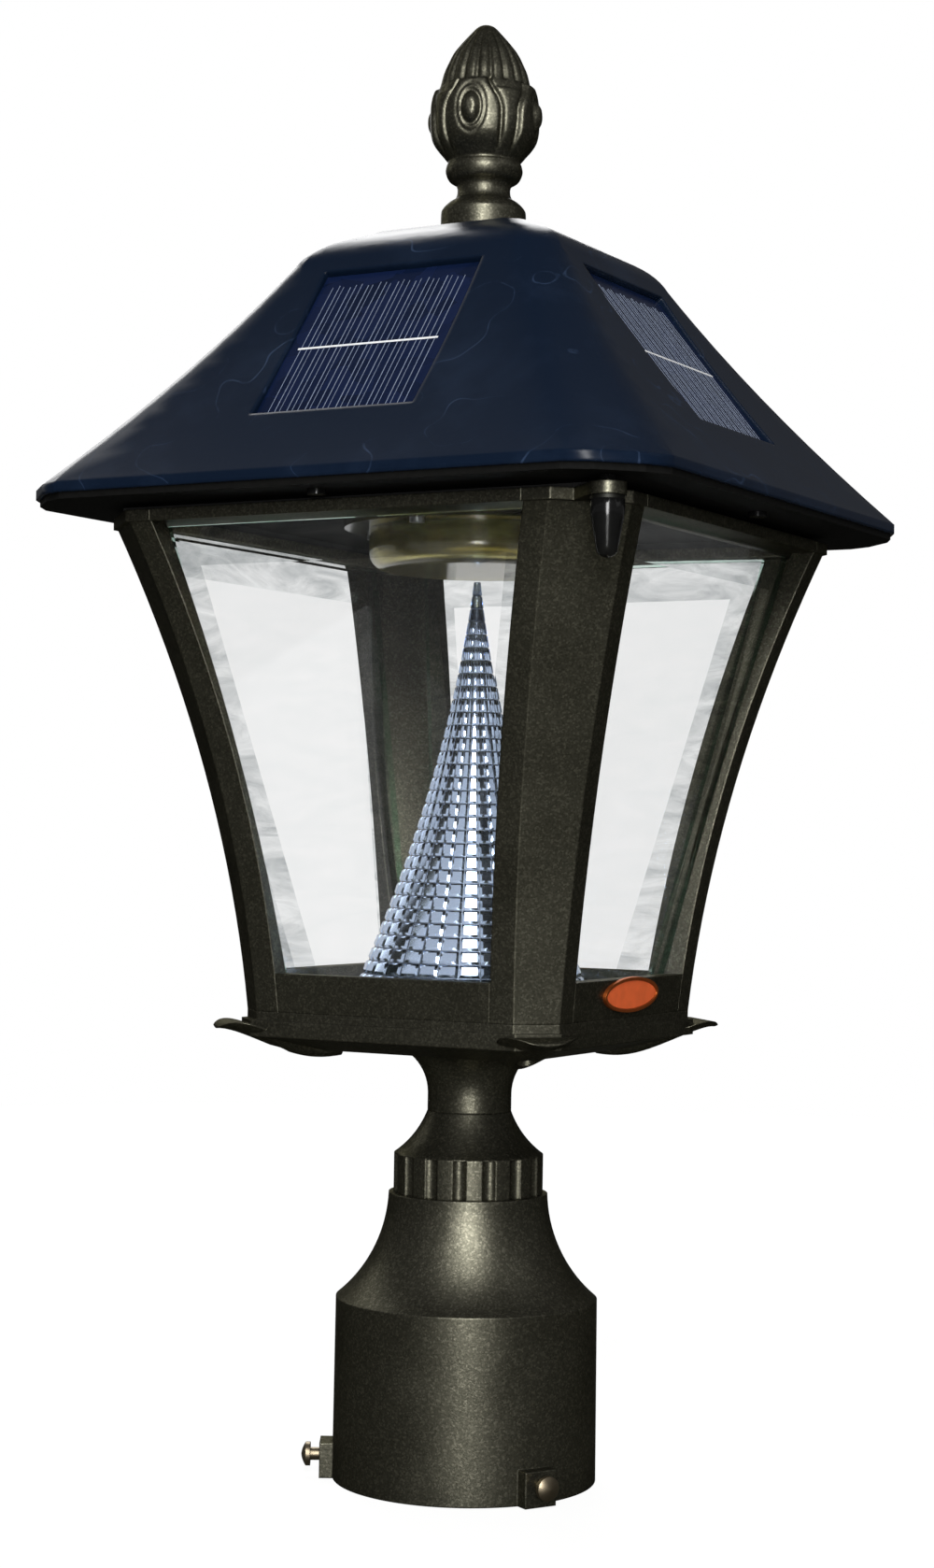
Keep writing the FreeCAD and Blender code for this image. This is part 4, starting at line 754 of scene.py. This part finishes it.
class LANTERN_OT_lamp(bpy.types.Operator):
    """Finish the lens, the LEDs and their board"""

    bl_idname = "lantern.lamp"
    bl_label = "Lamp"

    def execute(self, context):
        colours = context.scene.lantern_colours
        dress(clear_finish("clear moulded acrylic", colours.lens, 0.08, 1.49), ["led_lens"])
        dress(clear_finish("clear cast resin", colours.resin, 0.05, 1.5), ["leds"])
        dress(plastic_finish("solder mask on glass laminate", colours.board, 0.45, 3),
              ["led_board", "circuit_board"])
        return {"FINISHED"}


class LANTERN_OT_fasteners(bpy.types.Operator):
    """Finish screws, studs, nuts, washers and the floor plate"""

    bl_idname = "lantern.fasteners"
    bl_label = "Fasteners"

    def execute(self, context):
        colours = context.scene.lantern_colours
        dress(metal_finish("zinc plated steel", colours.zinc, 0.25, 0.45, 2),
              ["threaded_nipple", "nipple_washers", "nipple_nuts", "base_screws", "floor_plate",
               "cone_screws", "finial_stud", "finial_washer", "finial_nut", "lens_screws",
               "board_screws"])
        # The thumb washers are drawn in a darker zinc
        dress(metal_finish("weathered zinc plate on steel", colours.dark_zinc, 0.4, 0.6, 2),
              ["thumb_washer_1", "thumb_washer_2"])
        lacquer = plastic_finish("gloss black lacquer on brass", colours.lacquer, 0.16, 3)
        dress(lacquer, ["underplate_screws"])
        for number in (1, 2):
            screw = f"thumb_screw_{number}"
            smooth_copy(f"acorn_screw_{number}", screw, lacquer, screw)
        dress(metal_finish("dull turned brass", colours.brass, 0.3, 0.5, 1.5),
              [f"set_screw_{number}" for number in (1, 2, 3)])
        return {"FINISHED"}


class LANTERN_OT_electronics(bpy.types.Operator):
    """Finish the gasket, the battery and the switch"""

    bl_idname = "lantern.electronics"
    bl_label = "Electronics and gasket"

    def execute(self, context):
        colours = context.scene.lantern_colours
        dress(plastic_finish("moulded black ABS", colours.plastic, 0.5, 0.8),
              ["battery_holder", "switch_housing", "switch_slider"])
        dress(plastic_finish("closed cell foam rubber", colours.rubber, 0.85, 0.9),
              ["gasket_strips"])
        dress(plastic_finish("shrink wrapped steel cell", colours.wrap, 0.35, 6),
              ["battery_cells"])
        return {"FINISHED"}


class LANTERN_OT_badge(bpy.types.Operator):
    """Press the blank oval plate with its raised rim"""

    bl_idname = "lantern.badge"
    bl_label = "Badge plate"

    def execute(self, context):
        sizes, colours = context.scene.lantern_sizes, context.scene.lantern_colours
        place = face_frame("lower_rail_right", Vector((1, 0, 0)))[0]
        place = place @ Matrix.Translation((0, sizes.badge_lift, 0))
        oval = Matrix.Diagonal((sizes.badge_half_width, sizes.badge_half_height, 1, 1))
        bm = bmesh.new()
        bmesh.ops.create_circle(bm, cap_ends=True, segments=BADGE_STEPS, radius=1, matrix=oval)
        face = next(iter(bm.faces))
        grown = bmesh.ops.extrude_face_region(bm, geom=[face])["geom"]
        top = next(item for item in grown if isinstance(item, bmesh.types.BMFace))
        bmesh.ops.translate(bm, verts=top.verts, vec=(0, 0, sizes.badge_thick))
        bmesh.ops.inset_individual(bm, faces=[top], thickness=sizes.badge_rim, depth=0)
        bmesh.ops.inset_individual(bm, faces=[top], thickness=BADGE_SLOPE, depth=-BADGE_SINK)
        bmesh.ops.transform(bm, matrix=place, verts=bm.verts)
        gilt = metal_finish("gilded brass", colours.gilt, 0.5, 0.65, 3)
        plate = new_piece("badge_plate", bm, gilt, "lantern", smooth=False)
        plate.data.materials.append(plastic_finish("fired enamel on brass", colours.enamel, 0.3, 4))
        outer = [face for face in plate.data.polygons if face.normal.x > 0]
        max(outer, key=lambda face: face.area).material_index = 1
        return {"FINISHED"}


class LANTERN_OT_stage(bpy.types.Operator):
    """Set up floor, background, soft lights and camera"""

    bl_idname = "lantern.stage"
    bl_label = "Stage"

    def execute(self, context):
        stage = context.scene.lantern_stage
        self.background(context.scene, stage)
        self.floor(context.scene.lantern_colours)
        for name, setting, *place in LIGHTS:
            self.light(name, getattr(stage, setting), *place)
        self.camera(context.scene, stage)
        context.scene.view_settings.view_transform = "Standard"
        return {"FINISHED"}

    def seen(self, tree):
        """How much of the white background a ray sees, and whether the ray is glossy."""
        ray = add_node(tree, "LightPath").outputs
        clear = reckon(tree, "MAXIMUM", ray["Is Camera Ray"], ray["Is Transmission Ray"])
        matt = reckon(tree, "LESS_THAN", ray["Diffuse Depth"], 0.5)
        mirrored = remap(tree, ray["Glossy Depth"], 0.0, 1.0, 1.0, MIRROR_SHARE)
        view = reckon(tree, "MULTIPLY", clear, matt)
        return reckon(tree, "MULTIPLY", view, mirrored), ray["Is Glossy Ray"]

    def background(self, scene, stage):
        """White to the eye and through glass, dim in gloss, and a low even light for the rest."""
        world = bpy.data.worlds.new("studio")
        world.use_nodes = True
        tree = world.node_tree
        tree.nodes.clear()
        seen, glossy = self.seen(tree)
        dim = remap(tree, glossy, 0.0, 1.0, stage.ambient, stage.glossy_share)
        strength = reckon(tree, "MAXIMUM", seen, dim)
        shader = add_node(tree, "Background", {"Color": WHITE, "Strength": strength})
        add_node(tree, "OutputWorld", {"Surface": shader.outputs["Background"]})
        scene.world = world

    def floor(self, colours):
        """A pale floor that keeps the lantern's shadow, runs into white and is darker in gloss."""
        bm = bmesh.new()
        bmesh.ops.create_grid(bm, x_segments=4, y_segments=4, size=FLOOR_HALF,
                              matrix=Matrix.Translation((0, 0, -FLOOR_DROP)))
        mesh = bpy.data.meshes.new("floor")
        bm.to_mesh(mesh)
        bm.free()
        floor = bpy.data.objects.new("floor", mesh)
        bpy.context.scene.collection.objects.link(floor)
        material, tree, place = new_material("pale studio floor")
        seen, glossy = self.seen(tree)
        ground = blend(tree, glossy, colours.floor, colours.floor_gloss)
        matt = add_node(tree, "BsdfDiffuse", {"Color": ground}).outputs["BSDF"]
        away = add_node(tree, "VectorMath", {0: place}, operation="LENGTH").outputs["Value"]
        white = remap(tree, away, FADE_START, FADE_END, FLOOR_WHITE, 1.0)
        level = remap(tree, away, FADE_START, FADE_END, FLOOR_GLOW, 1.0)
        glow = add_node(tree, "Emission", {"Color": WHITE, "Strength": level}).outputs["Emission"]
        share = reckon(tree, "MULTIPLY", seen, white)
        both = add_node(tree, "MixShader", {0: share, 1: matt, 2: glow})
        close_material(tree, both.outputs["Shader"])
        mesh.materials.append(material)

    def light(self, name, watts, size, azimuth, elevation, distance):
        """A soft light of a given width and height that looks at the lantern's middle."""
        lamp = bpy.data.lights.new(name, "AREA")
        lamp.energy, lamp.shape = watts, "RECTANGLE"
        lamp.size, lamp.size_y = size
        around, up = math.radians(azimuth), math.radians(elevation)
        back = Vector((math.sin(around) * math.cos(up), -math.cos(around) * math.cos(up),
                       math.sin(up)))
        made = bpy.data.objects.new(name, lamp)
        made.location = LIGHT_AIM + back * distance
        made.rotation_euler = back.to_track_quat("Z", "Y").to_euler()
        bpy.context.scene.collection.objects.link(made)

    def camera(self, scene, stage):
        """The camera, where the photograph was taken from."""
        side, ahead = math.sin(stage.azimuth), math.cos(stage.azimuth)
        level, rise = math.cos(stage.pitch), math.sin(stage.pitch)
        look = Vector((-side * level, ahead * level, rise))
        right = Vector((ahead, side, 0))
        up = right.cross(look)
        tilted_right = math.cos(stage.roll) * right + math.sin(stage.roll) * up
        tilted_up = math.cos(stage.roll) * up - math.sin(stage.roll) * right
        data = bpy.data.cameras.new("photo_camera")
        data.sensor_width = SENSOR_MM
        data.lens = stage.focal_pixels * SENSOR_MM / PHOTO_HEIGHT
        camera = bpy.data.objects.new("photo_camera", data)
        stand = Vector((side * stage.distance, -ahead * stage.distance, stage.height))
        turned = Matrix((tilted_right, tilted_up, -look)).transposed().to_4x4()
        turned.translation = stand + stage.aside * right
        camera.matrix_world = turned
        scene.collection.objects.link(camera)
        scene.camera = camera


OPERATORS = (
    LANTERN_OT_castings, LANTERN_OT_roof, LANTERN_OT_panels, LANTERN_OT_finial, LANTERN_OT_glass,
    LANTERN_OT_cone, LANTERN_OT_lamp, LANTERN_OT_fasteners, LANTERN_OT_electronics,
    LANTERN_OT_badge, LANTERN_OT_stage)


class LANTERN_PT_panel(bpy.types.Panel):
    """Lists the lantern's steps and settings"""

    bl_idname = "LANTERN_PT_panel"
    bl_label = "Lantern"
    bl_space_type = "VIEW_3D"
    bl_region_type = "UI"
    bl_category = "Lantern"

    def draw(self, context):
        for operator in OPERATORS:
            self.layout.operator(operator.bl_idname)
        scene = context.scene
        for group in (scene.lantern_sizes, scene.lantern_colours, scene.lantern_stage):
            for name in group.bl_rna.properties.keys():
                if name not in ("rna_type", "name"):
                    self.layout.prop(group, name)


CLASSES = (LanternSizes, LanternColours, LanternStage, *OPERATORS, LANTERN_PT_panel)


def register():
    """Registers the classes and their settings."""
    for item in CLASSES:
        bpy.utils.register_class(item)
    bpy.types.Scene.lantern_sizes = bpy.props.PointerProperty(type=LanternSizes)
    bpy.types.Scene.lantern_colours = bpy.props.PointerProperty(type=LanternColours)
    bpy.types.Scene.lantern_stage = bpy.props.PointerProperty(type=LanternStage)


def unregister():
    """Takes the settings and classes away again."""
    del bpy.types.Scene.lantern_stage
    del bpy.types.Scene.lantern_colours
    del bpy.types.Scene.lantern_sizes
    for item in reversed(CLASSES):
        bpy.utils.unregister_class(item)


def main():
    """Dresses the whole lantern."""
    register()
    bpy.ops.lantern.castings()
    bpy.ops.lantern.roof()
    bpy.ops.lantern.panels()
    bpy.ops.lantern.finial()
    bpy.ops.lantern.glass()
    bpy.ops.lantern.cone()
    bpy.ops.lantern.lamp()
    bpy.ops.lantern.fasteners()
    bpy.ops.lantern.electronics()
    bpy.ops.lantern.badge()
    bpy.ops.lantern.stage()


if __name__ == "__main__":
    main()
